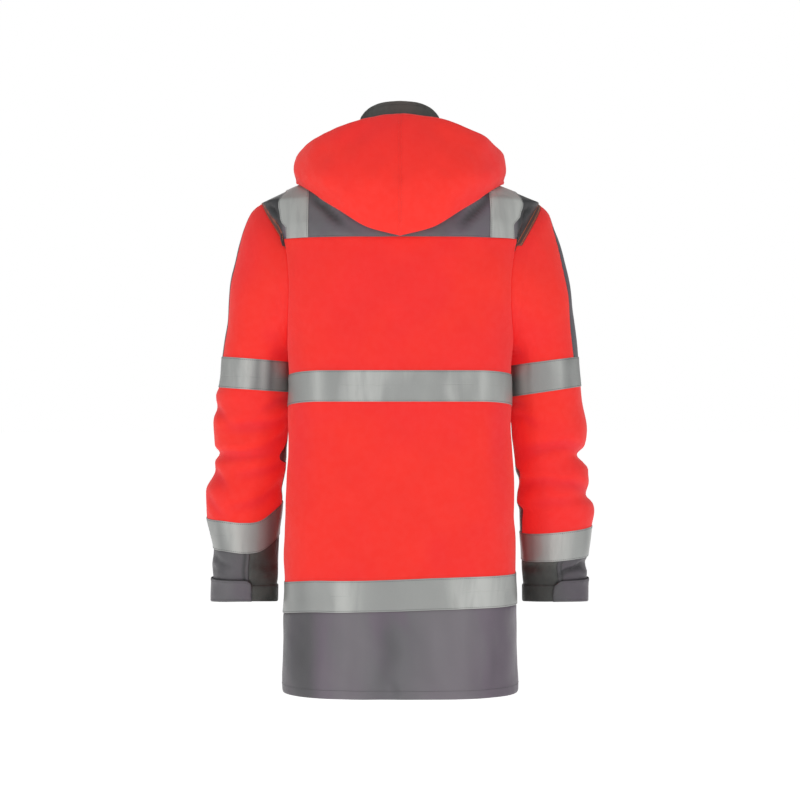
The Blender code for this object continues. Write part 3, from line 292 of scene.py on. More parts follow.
# Folds in the sleeves: the line as columns and rows, depth, width and lean.
SLEEVE_FOLDS = {
    "left": (
        ("line", "depth", "width", "lean"),
        (((8.4, 8.15), (6.8, 8.30), (4.8, 8.75)), 0.0030, 0.0090, 0.7),
        (((8.6, 8.75), (6.9, 8.95), (4.9, 9.05), (3.0, 9.10)), 0.0036, 0.0110, 0.8),
        (((0.2, 8.54), (1.6, 8.60), (3.4, 8.85)), 0.0030, 0.0080, 0.6),
        (((8.5, 9.30), (6.8, 9.62), (5.0, 9.86)), 0.0036, 0.0100, 0.8),
        (((7.4, 10.05), (5.2, 10.02), (2.6, 9.98), (0.4, 10.02)), 0.0040, 0.0095, 0.8),
        (((8.3, 10.60), (6.6, 10.85), (4.2, 11.10)), 0.0028, 0.0100, 0.6),
        (((0.3, 10.98), (1.8, 11.15), (3.8, 11.60)), 0.0032, 0.0090, -0.7),
        (((8.2, 11.60), (6.4, 12.15), (4.4, 12.45)), 0.0030, 0.0100, 0.7),
        (((1.2, 12.00), (2.6, 12.45), (3.6, 12.80)), 0.0020, 0.0090, 0.4),
        (((8.4, 5.40), (7.0, 5.90), (5.6, 6.50)), 0.0026, 0.0140, 0.5),
        (((7.6, 3.60), (6.2, 4.30), (5.0, 5.20)), 0.0018, 0.0150, -0.4),
        (((1.8, 14.40), (2.9, 14.70), (4.2, 14.90)), 0.0032, 0.0070, 0.5),
        (((1.2, 15.30), (2.4, 15.10), (3.8, 15.40)), 0.0028, 0.0070, -0.6),
        (((6.0, 14.70), (7.0, 14.95), (8.2, 15.00)), 0.0032, 0.0070, 0.6),
        (((5.6, 15.60), (6.9, 15.45), (8.0, 15.80)), 0.0028, 0.0070, -0.5),
        (((9.6, 8.30), (11.4, 8.60), (13.6, 8.80)), 0.0030, 0.0100, 0.6),
        (((9.6, 9.20), (12.0, 9.50), (14.8, 9.40)), 0.0034, 0.0110, 0.7),
        (((9.8, 10.10), (12.4, 10.05), (15.0, 10.10), (17.2, 10.02)), 0.0038, 0.0100, 0.8),
        (((10.0, 11.10), (12.2, 11.30), (14.4, 11.20)), 0.0028, 0.0100, 0.6),
        (((12.2, 12.20), (14.2, 12.40), (16.0, 12.10)), 0.0024, 0.0100, 0.5),
        (((10.2, 5.60), (11.6, 6.10), (13.0, 6.60)), 0.0022, 0.0140, 0.5),
    ),
    "right": (
        ("line", "depth", "width", "lean"),
        (((8.5, 8.20), (7.4, 8.25), (6.4, 8.35)), 0.0026, 0.0080, 0.6),
        (((8.4, 8.60), (7.0, 8.62), (5.6, 8.95)), 0.0030, 0.0100, 0.7),
        (((8.6, 9.95), (6.6, 9.80), (4.0, 9.60), (1.8, 9.75), (0.2, 10.0)), 0.0042, 0.0100, 0.8),
        (((8.4, 10.35), (6.8, 10.25), (5.0, 10.00)), 0.0030, 0.0090, -0.6),
        (((0.2, 12.00), (1.6, 11.70), (3.6, 11.45), (5.6, 11.40)), 0.0034, 0.0095, 0.8),
        (((8.3, 11.90), (6.8, 11.50), (5.2, 11.35)), 0.0028, 0.0100, -0.6),
        (((6.6, 12.30), (5.2, 12.15), (3.6, 12.10)), 0.0018, 0.0090, 0.5),
        (((8.4, 5.20), (7.2, 5.80), (6.2, 6.60)), 0.0024, 0.0140, 0.5),
        (((8.3, 3.40), (7.4, 4.20), (6.8, 5.00)), 0.0018, 0.0150, -0.4),
        (((1.0, 15.40), (2.4, 14.75), (4.2, 15.10), (4.9, 15.60)), 0.0040, 0.0050, 0.7),
        (((0.6, 14.60), (1.8, 14.35), (3.0, 14.40)), 0.0026, 0.0070, -0.5),
        (((5.8, 15.10), (6.8, 14.80), (8.0, 14.90)), 0.0034, 0.0070, 0.6),
        (((5.6, 14.40), (6.8, 14.35), (7.8, 14.45)), 0.0024, 0.0070, -0.5),
        (((9.6, 8.40), (11.4, 8.55), (13.6, 8.70)), 0.0030, 0.0100, 0.6),
        (((9.8, 9.60), (12.4, 9.55), (15.0, 9.70), (17.3, 9.95)), 0.0038, 0.0100, 0.8),
        (((9.8, 10.80), (12.0, 10.90), (14.2, 10.70)), 0.0028, 0.0100, -0.6),
        (((12.2, 11.70), (14.4, 11.60), (17.2, 11.98)), 0.0030, 0.0100, 0.7),
        (((10.2, 5.60), (11.6, 6.10), (13.0, 6.60)), 0.0022, 0.0140, 0.5),
    ),
}
FOLD_DENT = 1.0         # depth of the trough, as a share of the fold's depth
FOLD_LIP = 0.55         # height of the raised side
CREASE_DEPTH = 0.0026   # a trough this deep is fully shaded
ARMHOLE_CALM = 0.010    # creases fade out this near an armhole

# Broad waves over the whole cloth: wavelength along x, y and z, height, and phase.
WAVES = (
    ((0.140, 0.310, 0.190), 0.00055, 0.4),
    ((-0.200, 0.150, 0.120), 0.00045, 2.1),
    ((0.090, -0.170, 0.260), 0.00040, 4.0),
    ((-0.110, -0.240, -0.084), 0.00032, 1.2),
    ((0.066, 0.120, -0.105), 0.00022, 5.3),
    ((-0.061, 0.084, 0.052), 0.00016, 3.3),
)


# ---------------------------------------------------------------- tables and curves

def curve(table, along, value):
    """Smooth function through one column of a table, with no overshoot between its rows."""
    names = table[0]
    rows = np.array(sorted(table[1:], key=lambda row: row[names.index(along)]), dtype=float)
    x = rows[:, names.index(along)]
    y = rows[:, names.index(value)]
    step = np.diff(x)
    rise = np.diff(y) / step
    slope = np.zeros(len(x))
    slope[0] = rise[0]
    slope[-1] = rise[-1]
    agree = rise[:-1] * rise[1:] > 0
    slope[1:-1][agree] = 2 * rise[:-1][agree] * rise[1:][agree] / (rise[:-1] + rise[1:])[agree]

    def at(place):
        place = np.clip(np.asarray(place, dtype=float), x[0], x[-1])
        i = np.clip(np.searchsorted(x, place) - 1, 0, len(x) - 2)
        t = (place - x[i]) / step[i]
        start = (1 + 2 * t) * (1 - t) ** 2 * y[i] + t * (1 - t) ** 2 * step[i] * slope[i]
        end = t * t * (3 - 2 * t) * y[i + 1] + t * t * (t - 1) * step[i] * slope[i + 1]
        return start + end

    return at


def curves(table):
    """A curve for each column of a table along its first."""
    return {name: curve(table, table[0][0], name) for name in table[0][1:]}


def signed_power(value, power):
    return np.sign(value) * np.abs(value) ** power


def smooth_step(value):
    value = np.clip(value, 0.0, 1.0)
    return value * value * (3 - 2 * value)


def unit(vectors):
    return vectors / np.maximum(np.linalg.norm(vectors, axis=-1, keepdims=True), 1e-12)


width_below_shoulder = curve([BODY[0]] + [row for row in BODY[1:] if row[0] <= SHOULDER_Z], "z", "width")
body_form = curves(BODY)
level_at = curves(LEVELS)
column_at = curves(COLUMNS)
sleeve_at = {side: {"outer": curves(SLEEVE_OUTER[side]), "inner": curves(SLEEVE_INNER[side]),
                    "form": curves(SLEEVE_FORM[side])} for side in SIDES}


def body_width(z):
    shoulder = NECK_WIDTH + (SHOULDER_X - NECK_WIDTH) * np.asarray(z) / SHOULDER_Z
    return np.where(np.asarray(z) > SHOULDER_Z, np.maximum(shoulder, NECK_WIDTH), width_below_shoulder(z))


def surface_y(x, z, half):
    """Depth of the body's skin at a given x and height."""
    share = np.clip(np.abs(x) / body_width(z), 0.0, 1.0)
    square = body_form[half + "_square"](z)
    return FACING[half] * body_form[half](z) * (1 - share ** square) ** (1 / square)


def surface_x(y, z, half):
    """Half width of the body's skin at a given depth and height."""
    share = np.clip(np.abs(y) / body_form[half](z), 0.0, 1.0)
    square = body_form[half + "_square"](z)
    return body_width(z) * (1 - share ** square) ** (1 / square)


def press_side(points):
    """The arm's hollow in the side of the body."""
    pressed = points.copy()
    x = points[..., 0]
    hollow = body_form["hollow"](points[..., 2]) * np.exp(-((points[..., 1] - HOLLOW_Y) / HOLLOW_SPREAD) ** 2)
    pressed[..., 0] = x - np.sign(x) * hollow * smooth_step(np.abs(x) / 0.12)
    return pressed


def armhole_y(z, half):
    above = z > ARMHOLE_WIDEST_Z
    reach_up = (z - ARMHOLE_WIDEST_Z) / (SHOULDER_Z - ARMHOLE_WIDEST_Z)
    reach_down = (ARMHOLE_WIDEST_Z - z) / (ARMHOLE_WIDEST_Z - ARMPIT_Z)
    share = np.clip(np.where(above, reach_up, reach_down), 0.0, 1.0)
    roundness = np.where(above, ARMHOLE_ROUNDNESS["upper"], ARMHOLE_ROUNDNESS["lower"])
    return FACING[half] * ARMHOLE_REACH[half] * (1 - share ** roundness) ** (1 / roundness)


def armhole_z(angle):
    return ARMHOLE_MIDDLE_Z + 0.5 * (SHOULDER_Z - ARMPIT_Z) * np.cos(angle)


YOKE_TIP_ANGLE = math.acos((YOKE_TIP_Z - ARMHOLE_MIDDLE_Z) / (0.5 * (SHOULDER_Z - ARMPIT_Z)))


def armhole_angle(column):
    """Angle round the armhole of a sleeve column, from 0 at the shoulder to pi at the armpit."""
    column = np.asarray(column, dtype=float)
    upper = YOKE_TIP_ANGLE * column / YOKE_ROWS
    lower = YOKE_TIP_ANGLE + (math.pi - YOKE_TIP_ANGLE) * (column - YOKE_ROWS) / SIDE_ROWS
    return np.where(column <= YOKE_ROWS, upper, lower)


def armhole_point(column, half):
    """Point of the left armhole at a sleeve column from 0 to 9."""
    z = armhole_z(armhole_angle(column))
    y = armhole_y(z, half)
    return press_side(np.stack([surface_x(y, z, half), y, z], axis=-1))


def ring_point(share, z, limit_y, half, samples=160):
    """Point a given share of the way round the level arc from the middle of the body to limit_y."""
    share, z, limit_y = np.broadcast_arrays(share, z, limit_y)
    square = body_form[half + "_square"](z)
    depth = body_form[half](z)
    end = np.arccos(np.clip(np.abs(limit_y) / depth, 0, 1) ** (square / 2))
    angle = end[..., None] * np.linspace(0, 1, samples)
    power = 2 / square[..., None]
    x = body_width(z)[..., None] * np.abs(np.sin(angle)) ** power
    y = FACING[half] * depth[..., None] * np.abs(np.cos(angle)) ** power
    step = np.hypot(np.diff(x, axis=-1), np.diff(y, axis=-1))
    length = np.concatenate([np.zeros(z.shape + (1,)), np.cumsum(step, axis=-1)], axis=-1)
    target = (share * length[..., -1])[..., None]
    i = np.clip((length < target).sum(axis=-1, keepdims=True) - 1, 0, samples - 2)
    start = np.take_along_axis(length, i, -1)
    t = ((target - start) / np.take_along_axis(step, i, -1))[..., 0]
    first = np.take_along_axis(x, i, -1)[..., 0]
    found_x = first + (np.take_along_axis(x, i + 1, -1)[..., 0] - first) * t
    first = np.take_along_axis(y, i, -1)[..., 0]
    found_y = first + (np.take_along_axis(y, i + 1, -1)[..., 0] - first) * t
    return np.stack([found_x, found_y, z], axis=-1)


def shoulder_top_z(x, half):
    """Height of the shoulder line outside the neck, and of the neck seam inside it."""
    slope = SHOULDER_Z / (SHOULDER_X - NECK_WIDTH)
    ridge = slope * (np.abs(x) - NECK_WIDTH)
    drop = FRONT_NECK_DROP if half == "front" else 0.0
    neck = -drop * np.sqrt(np.clip(1 - (np.abs(x) / NECK_WIDTH) ** 2, 0, 1))
    return np.where(np.abs(x) > NECK_WIDTH, ridge, neck)


# ---------------------------------------------------------------- the skin of each shell

def opened(points, columns, half):
    """Moves the fronts' first column out to the opening's edge."""
    if half == "front":
        points = points.copy()
        points[..., 0] += FRONT_OPENING * np.clip(1 - np.asarray(columns), 0, 1)
    return points


def body_points(half, side, rows, columns):
    """Left-hand points of the body, hem (row 0) to yoke seam (row 14), dipping as the given side does."""
    row = np.asarray(rows, dtype=float)[:, None]
    columns = np.asarray(columns, dtype=float)
    ring = column_at["ring"](columns)[None, :]
    seam = column_at["seam"](columns)[None, :]
    dip = level_at["dip_" + side](row) * smooth_step((ring - DIP_STARTS) / (1 - DIP_STARTS))
    level = level_at["z"](row) - dip + level_at["bow_" + side](row) * np.sin(math.pi * ring)
    t = np.clip((row - ARMPIT_ROW) / SIDE_ROWS, 0, 1)
    share = ring + (seam - ring) * smooth_step(t)
    edge_z = armhole_z(armhole_angle(SEAM_ROW + YOKE_ROWS - np.maximum(row, ARMPIT_ROW)))
    middle_z = ARMPIT_Z + (YOKE_SEAM_Z[half] - ARMPIT_Z) * t
    start = 0.5 + 0.475 * np.clip((t - 0.6) / 0.4, 0, 1)
    above = middle_z + (edge_z - middle_z) * smooth_step((share - start) / (1 - start))
    z = np.where(row <= ARMPIT_ROW, level, above)
    limit = np.where(row <= ARMPIT_ROW, 0.0, armhole_y(z, half))
    points = press_side(ring_point(share, z, limit, half))
    edge = columns >= SIDE_COLUMN
    high = np.asarray(rows) >= ARMPIT_ROW
    if edge.any() and high.any():
        exact = armhole_point(SEAM_ROW + YOKE_ROWS - np.asarray(rows, dtype=float)[high], half)
        points[np.ix_(high, edge)] = exact[:, None, :]
    return opened(points, columns, half)


def yoke_points(half, rows, columns):
    """Left-hand points of a yoke, from its seam (row 0) up to the shoulder line and neck (row 4)."""
    columns = np.asarray(columns, dtype=float)
    rows = np.asarray(rows, dtype=float)
    seam = body_points(half, "left", [SEAM_ROW], columns)[0]
    bottom = seam.copy()
    bottom[:, 0] -= opened(seam * 0, columns, half)[:, 0]
    top_x = column_at["shoulder_x"](columns)
    top_z = shoulder_top_z(top_x, half)
    tip = armhole_point(YOKE_ROWS, half)
    grid = []
    for row in rows:
        angle = YOKE_TIP_ANGLE * (1 - row / YOKE_ROWS)
        rise = (math.cos(angle) - math.cos(YOKE_TIP_ANGLE)) / (1 - math.cos(YOKE_TIP_ANGLE))
        edge = armhole_point(YOKE_ROWS - row, half)
        spread = (edge[0] - tip[0]) / (SHOULDER_X - tip[0])
        x = bottom[:, 0] + (top_x - bottom[:, 0]) * spread
        z = bottom[:, 2] + (top_z - bottom[:, 2]) * rise
        points = np.stack([x, surface_y(x, z, half), z], axis=-1)
        points[columns >= SIDE_COLUMN] = edge
        points = opened(points, columns, half)
        if row == 0:
            points = seam
        grid.append(points)
    return np.array(grid)


def shift(*rows):
    """A curve through pairs of place and shift."""
    return curve((("place", "shift"), *rows), "place", "shift")


# The lower tape of the left sleeve runs down in a hook near its inner back: the drop, in metres, by row.
TAPE_HOOK = shift((11.8, 0.0), (12.6, 0.009), (13, 0.0150), (13.5, 0.0145), (14, 0.0130), (15, 0.004),
                  (16, 0.0))
TAPE_HOOK_ANGLE = 108
TAPE_HOOK_SPREAD = 35


def sleeve_points(side, rows, columns):
    """Points of a sleeve on the left, from the outside (column 0) by the back, inside (9) and front (18)."""
    at = sleeve_at[side]
    row = np.asarray(rows, dtype=float)[:, None]
    column = np.mod(np.asarray(columns, dtype=float), SLEEVE_COLUMNS)
    back = column <= ARMPIT_COLUMN
    folded = np.where(back, column, SLEEVE_COLUMNS - column)
    angle = np.where(back, armhole_angle(folded), 2 * math.pi - armhole_angle(folded))[None, :]
    along = signed_power(np.cos(angle), 2 / SLEEVE_SQUARE)
    around = signed_power(np.sin(angle), 2 / SLEEVE_SQUARE)
    outer_x, outer_z, inner_x, inner_z = (
        at[edge][axis](row) for edge in ("outer", "inner") for axis in ("x", "z"))
    x = 0.5 * (outer_x + inner_x) + 0.5 * (outer_x - inner_x) * along
    z = 0.5 * (outer_z + inner_z) + 0.5 * (outer_z - inner_z) * along - at["form"]["tilt"](row) * np.sin(angle)
    if side == "left":
        z = z - TAPE_HOOK(row) * np.exp(-((np.degrees(angle) - TAPE_HOOK_ANGLE) / TAPE_HOOK_SPREAD) ** 2)
    y = at["form"]["y"](row) + at["form"]["depth"](row) * around
    grid = np.stack(np.broadcast_arrays(x, y, z), axis=-1)
    hole = np.where(back[:, None], armhole_point(folded, "back"), armhole_point(folded, "front"))
    first = np.stack([
        (0.5 * (SHOULDER_X + ARMPIT_X) + 0.5 * (SHOULDER_X - ARMPIT_X) * along)[0],
        (at["form"]["y"](0) + at["form"]["depth"](0) * around)[0],
        (0.5 * (SHOULDER_Z + ARMPIT_Z) + 0.5 * (SHOULDER_Z - ARMPIT_Z) * along)[0]], axis=-1)
    fade = np.clip(1 - row / SLEEVE_FREE_ROW, 0, 1)[..., None] ** 2
    grid = grid + (hole - first)[None] * fade
    grid[np.asarray(rows) <= 0] = hole
    return grid


# How far the strip along the outside of each upper sleeve reaches round to the back, in columns, by row.
STRIP_SHIFT = {
    "left": shift((0, 0.0), (1, 0.2), (3, 0.9), (7, 1.15), (7.3, 1.15), (7.7, 0.0), (8, 0.0)),
    "right": shift((0, 0.0), (1, 0.4), (2.5, 1.25), (4.8, 1.95), (7.3, 2.1), (7.7, 0.0), (8, 0.0)),
}
# How far the seam inside the elbow swings round to the back, and the cuff's seam to the outside, in columns,
# by row.
ELBOW_SHIFT = {
    "left": shift((9.6, 0.0), (9.8, 0.7), (10.2, 1.5), (10.5, 1.2), (10.7, 0.0), (14, 0.0)),
    "right": shift((10.8, 0.0), (11.0, 1.1), (11.3, 0.9), (11.5, 0.0), (12.3, 0.0), (12.55, 1.0), (12.9, 0.8),
                   (13.4, 0.0), (14, 0.0)),
}
CUFF_SHIFT = {"left": shift((13.4, 0.0), (14, -0.24), (18, -0.24)),
              "right": shift((13.4, 0.0), (14, 0.14), (18, 0.14))}


def strip_columns(side, row, columns):
    """Columns of a sleeve at a row, drawn towards the back beside its outer strip and its inner seam."""
    beside = np.where(columns <= ARMPIT_COLUMN, 1 - columns / 7.0, (columns - 13.0) / 5.0)
    elbow = np.exp(-((columns - ARMPIT_COLUMN) / 2.2) ** 2)
    seam = np.exp(-((columns - CUFF_SEAM_COLUMN) / 1.6) ** 2)
    shift = STRIP_SHIFT[side](row) * smooth_step(beside) - ELBOW_SHIFT[side](row) * elbow
    return columns + shift - CUFF_SHIFT[side](row) * seam


# How far each yoke reaches onto the back of the sleeve, in sleeve rows, by sleeve column, and over how many
# rows the sleeve makes up for it.
YOKE_REACH = {
    "left": None,
    "right": shift((0, 0.03), (0.5, 0.20), (1, 0.28), (2, 0.34), (3, 0.38), (3.73, 0.38), (3.85, 0.04),
                   (4, 0.03)),
}
YOKE_REACH_END = 0.1666667   # columns past the yoke's tip where the reach ends
YOKE_REACH_ROWS = 2.0


def yoke_reach(side, columns):
    """The reach at each sleeve column, dropping straight to nothing just past the yoke's tip."""
    if YOKE_REACH[side] is None:
        return np.zeros_like(columns)
    past = np.clip((columns - YOKE_ROWS) / YOKE_REACH_END, 0, 1)
    return YOKE_REACH[side](columns) * (1 - past)


def sleeve_grid(side):
    """The sleeve at full detail, starting from the yoke's edge."""
    found = []
    for row in SLEEVE_ROWS:
        columns = strip_columns(side, row, SLEEVE_PLACES)
        reach = yoke_reach(side, SLEEVE_PLACES) * np.clip(1 - row / YOKE_REACH_ROWS, 0, 1) ** 2
        line = sleeve_points(side, [row], columns)[0]
        for j in np.nonzero(reach > 0)[0]:
            line[j] = sleeve_points(side, [row + reach[j]], columns[j:j + 1])[0, 0]
        found.append(line)
    return np.array(found)


def yoke_end(side):
    """Columns that carry the back yoke from its armhole edge out onto the sleeve."""
    beyond = (SLEEVE_PLACES > YOKE_ROWS) & (SLEEVE_PLACES < YOKE_ROWS + YOKE_REACH_END + 1e-4)
    tip = np.append(SLEEVE_PLACES[beyond][::-1], YOKE_ROWS)
    grid = []
    for row in YOKE_ROW_PLACES:
        column = YOKE_ROWS - row
        if row > 0:
            spots = [(float(yoke_reach(side, np.array([column]))[0]) * (k + 1) / len(tip), column)
                     for k in range(len(tip))]
        else:
            spots = list(zip(yoke_reach(side, tip), tip))
        grid.append([sleeve_points(side, [reach], [at])[0, 0] for reach, at in spots])
    return np.array(grid)


def mirrored(points):
    return points * np.array([-1.0, 1.0, 1.0])


def across(left, right):
    """One grid from the right edge to the left edge, out of two halves that share the middle column."""
    return np.concatenate([mirrored(right)[:, :0:-1], left], axis=1)


# ---------------------------------------------------------------- dense grids

EDGE_LINES = (0.0009, 0.0020, 0.0034, 0.0060)     # extra grid lines this far from a seam


def divided(start, lengths, spacing, edges):
    """Places along whole-numbered stations, given the metres between them, with lines beside the edges."""
    places = []
    for i, length in enumerate(lengths):
        station = start + i
        steps = max(1, round(length / spacing))
        low = station in edges
        high = station + 1 in edges
        for k in range(steps):
            place = k / steps
            near_low = low and 0 < place * length < EDGE_LINES[-1] + 0.4 * spacing
            near_high = high and (1 - place) * length < EDGE_LINES[-1] + 0.4 * spacing
            if not (near_low or (near_high and k > 0)):
                places.append(station + place)
        if low:
            places += [station + d / length for d in EDGE_LINES if d < 0.45 * length]
        if high:
            places += [station + 1 - d / length for d in EDGE_LINES if d < 0.45 * length]
    places.append(start + len(lengths))
    return np.array(sorted(set(round(place, 9) for place in places)))


BODY_ROW_LENGTHS = (0.069, 0.072, 0.050, 0.074, 0.080, 0.070, 0.0605, 0.050, 0.0395) + 5 * (0.036,)
BODY_COLUMN_LENGTHS = (0.060, 0.051, 0.039, 0.030, 0.060, 0.027, 0.027, 0.039)
YOKE_ROW_LENGTHS = 4 * (0.040,)
SLEEVE_ROW_LENGTHS = (0.020, 0.030, 0.038, 0.042, 0.045, 0.040, 0.040, 0.050, 0.060, 0.045, 0.028, 0.036,
                      0.046, 0.052, 0.025, 0.020, 0.012, 0.026)
# Metres between the lines of a grid.
SPACING = 0.0050
SLEEVE_SPACING = 0.0042
TAPE_SPACING = 0.0036
TAPE_WIDTH = 0.050
TAB_SPACING = 0.0026
TAB_COLUMN_COUNT = 84


def between(places, low, high):
    """The part of a run of places from low to high."""
    return places[(places >= low - 1e-9) & (places <= high + 1e-9)]


BODY_ROWS = divided(0, BODY_ROW_LENGTHS, SPACING, (0, 2, 9, 13, 14))
BODY_COLUMNS = divided(0, BODY_COLUMN_LENGTHS, SPACING, (0, 8))
YOKE_ROW_PLACES = divided(0, YOKE_ROW_LENGTHS, SPACING, (0, 2, 4))
SLEEVE_ROWS = divided(0, SLEEVE_ROW_LENGTHS, SLEEVE_SPACING, (0, 8, 14, 18))
ARMHOLE_COLUMNS = np.concatenate([YOKE_ROWS - YOKE_ROW_PLACES[::-1],
                                  (SEAM_ROW + YOKE_ROWS - between(BODY_ROWS, ARMPIT_ROW, SEAM_ROW))[::-1][1:]])
# The front's inner strip seam is at column 12, six columns before the outside.
SLEEVE_PLACES = np.concatenate([ARMHOLE_COLUMNS, (SLEEVE_COLUMNS - ARMHOLE_COLUMNS[::-1])[1:]])


def face_sums(grid, inside):
    """Sum of the face normals at each point of a grid, turned away from the point inside."""
    faces = np.cross(grid[1:, 1:] - grid[:-1, :-1], grid[1:, :-1] - grid[:-1, 1:])
    centres = 0.25 * (grid[1:, 1:] + grid[:-1, :-1] + grid[1:, :-1] + grid[:-1, 1:])
    if np.sum(faces * (centres - np.array(inside))) < 0:
        faces = -faces
    sums = np.zeros_like(grid)
    for rows in (slice(0, -1), slice(1, None)):
        for columns in (slice(0, -1), slice(1, None)):
            sums[rows, columns] += faces
    return sums


class Skin:
    """Shells of grids that share their edge points, and the outward normals there."""

    def __init__(self):
        self.shells = {}
        self.grids = {}

    @staticmethod
    def border(shape):
        rows, columns = shape[:2]
        for i in range(rows):
            yield i, 0
            yield i, columns - 1
        for j in range(1, columns - 1):
            yield 0, j
            yield rows - 1, j

    @staticmethod
    def key(point):
        return tuple(int(round(value * 1e5)) for value in point)

    def add(self, name, shell, grid, inside):
        sums = face_sums(grid, inside)
        self.grids[name] = (grid, sums)
        shared = self.shells.setdefault(shell, {})
        for place in self.border(grid.shape):
            key = self.key(grid[place])
            shared[key] = shared.get(key, 0) + sums[place]

    def normals(self, name):
        grid, sums = self.grids[name]
        found = unit(sums)
        for place in self.border(grid.shape):
            key = self.key(grid[place])
            totals = [shared[key] for shared in self.shells.values() if key in shared]
            found[place] = unit(sum(unit(total) for total in totals))
        return found


INSIDE_BODY = (0.0, 0.0, -0.30)
INSIDE_SLEEVE = (0.25, -0.02, -0.40)
INSIDE_HOOD = (0.0, 0.03, 0.02)


# ---------------------------------------------------------------- creases

def fold_lines(shell):
    """The folds of a shell as lines in space: points, way out of the cloth, depth, width and lean."""
    found = []
    if shell == "body":
        for half, line, depth, width, lean in BODY_FOLDS[1:]:
            x, z = np.array(line).T
            points = np.stack([x, surface_y(x, z, half), z], axis=-1)
            found.append((points, np.array([0.0, FACING[half], 0.0]), depth, width, lean))
        return found
    side = shell.split("_")[1]
    for line, depth, width, lean in SLEEVE_FOLDS[side][1:]:
        column, row = np.array(line).T
        fine = np.linspace(0, len(line) - 1, 3 * len(line) - 2)
        column = np.interp(fine, np.arange(len(line)), column)
        row = np.interp(fine, np.arange(len(line)), row)
        points = np.array([sleeve_points(side, [r], [c])[0, 0] for c, r in zip(column, row)])
        edges = [sleeve_at[side][edge]["x"] for edge in ("outer", "inner")]
        middle = np.array([0.5 * (edges[0](r) + edges[1](r)) for r in row])
        away = points - np.stack([middle, sleeve_at[side]["form"]["y"](row), points[:, 2]], axis=-1)
        points[:, 0] *= SIGN[side]
        away[:, 0] *= SIGN[side]
        found.append((points, unit(away.mean(axis=0)), depth, width, lean))
    return found


def fold_height(points, line, away, depth, width, lean):
    """Height of one fold at each point: a trough along the line, with a lip on the side it leans to."""
    nearest = np.full(len(points), 1e9)
    along = np.zeros(len(points))
    across_line = np.zeros(len(points))
    for i in range(len(line) - 1):
        start = line[i]
        step = line[i + 1] - start
        length = np.linalg.norm(step)
        direction = step / length
        offset = points - start
        t = np.clip(offset @ direction, 0, length)
        gap = offset - t[:, None] * direction
        distance = np.linalg.norm(gap, axis=1)
        closer = distance < nearest
        nearest[closer] = distance[closer]
        along[closer] = (i + t[closer] / length) / (len(line) - 1)
        sideways = unit(np.cross(direction, away))
        across_line[closer] = (gap @ sideways)[closer]
    taper = np.sin(np.pi * np.clip(0.06 + 0.88 * along, 0, 1)) ** 0.8
    q = across_line / width
    total = nearest / width
    trough = np.exp(-total ** 2)
    lip = np.exp(-((total - 1.7) / 1.0) ** 2)
    weight = 0.5 + 0.5 * lean * np.tanh(2 * q)
    return depth * taper * (FOLD_LIP * lip * weight - FOLD_DENT * trough)


def waves(points):
    total = np.zeros(points.shape[:-1])
    for wavelength, height, phase in WAVES:
        total += height * np.sin(points @ (2 * math.pi / np.array(wavelength)) + phase)
    return total


ARMHOLE_LINE = np.concatenate([armhole_point(np.linspace(0, 9, 46), half) for half in HALVES])
_folds = {}


def relief(points, shell):
    """Height of the creases and waves at each point of a shell, and of the creases alone."""
    flat = points.reshape(-1, 3)
    if shell not in _folds:
        _folds[shell] = fold_lines(shell)
    height = np.zeros(len(flat))
    for line, away, depth, width, lean in _folds[shell]:
        near = np.all((flat > line.min(axis=0) - 4 * width) & (flat < line.max(axis=0) + 4 * width), axis=1)
        if near.any():
            height[near] += fold_height(flat[near], line, away, depth, width, lean)
    folded = np.abs(flat * np.array([1.0, 0.0, 0.0])) + flat * np.array([0.0, 1.0, 1.0])
    distance = np.full(len(flat), 1e9)
    for point in ARMHOLE_LINE:
        distance = np.minimum(distance, np.linalg.norm(folded - point, axis=1))
    height *= smooth_step((distance - 0.002) / ARMHOLE_CALM)
    return (height + waves(flat)).reshape(points.shape[:-1]), height.reshape(points.shape[:-1])


# ---------------------------------------------------------------- cloth pieces

LINING_SLOT = 1
CLOTH_SHARP = math.radians(50)
METAL_SHARP = math.radians(38)
FAR_AWAY = 1.0           # from an edge that a closed piece doesn't have
PULL_WIDTH = 0.0011      # of the groove along a row of stitches
PUCKER_WIDTH = 0.0055
PUCKER_LENGTH = 0.017


def lengths_along(grid, axis):
    step = np.linalg.norm(np.diff(grid, axis=axis), axis=-1)
    start = np.zeros_like(np.take(step, [0], axis=axis))
    return np.concatenate([start, np.cumsum(step, axis=axis)], axis=axis)


def edge_distances(grid, closed):
    """Distance of each point from the four edges: low row, high row, low column, high column."""
    down = lengths_along(grid, 0)
    over = lengths_along(grid, 1)
    far = np.full(grid.shape[:2], FAR_AWAY)
    return {"low": down, "high": down[-1:] - down,
            "start": far if closed else over, "end": far if closed else over[:, -1:] - over}


@dataclass
class Finish:
    """How a piece's edges are finished: how far they roll in, and where stitches pull them down."""

    stitched: str = ""
    roll: float = 0.0007
    width: float = 0.0022
    stitch_in: float = 0.0020
    pull: float = 0.0003
    pucker: float = 0.00022

    def drop(self, grid, closed):
        """How far each point of the face is pulled in."""
        distances = edge_distances(grid, closed)
        total = np.zeros(grid.shape[:2])
        for distance in distances.values():
            total = np.maximum(total, self.roll * np.clip(1 - distance / self.width, 0, 1) ** 2)
        for edge in self.stitched.split():
            beside = distances[edge] - self.stitch_in
            run = lengths_along(grid, 1 if edge in ("low", "high") else 0)
            ripple = np.sin(2 * math.pi * run / PUCKER_LENGTH + 1.3 * np.sin(run * 61))
            ripple = ripple * (0.6 + 0.4 * np.sin(run * 23))
            total = total + self.pull * np.exp(-(beside / PULL_WIDTH) ** 2)
            total = total + self.pucker * ripple * np.exp(-(beside / PUCKER_WIDTH) ** 2)
        return total


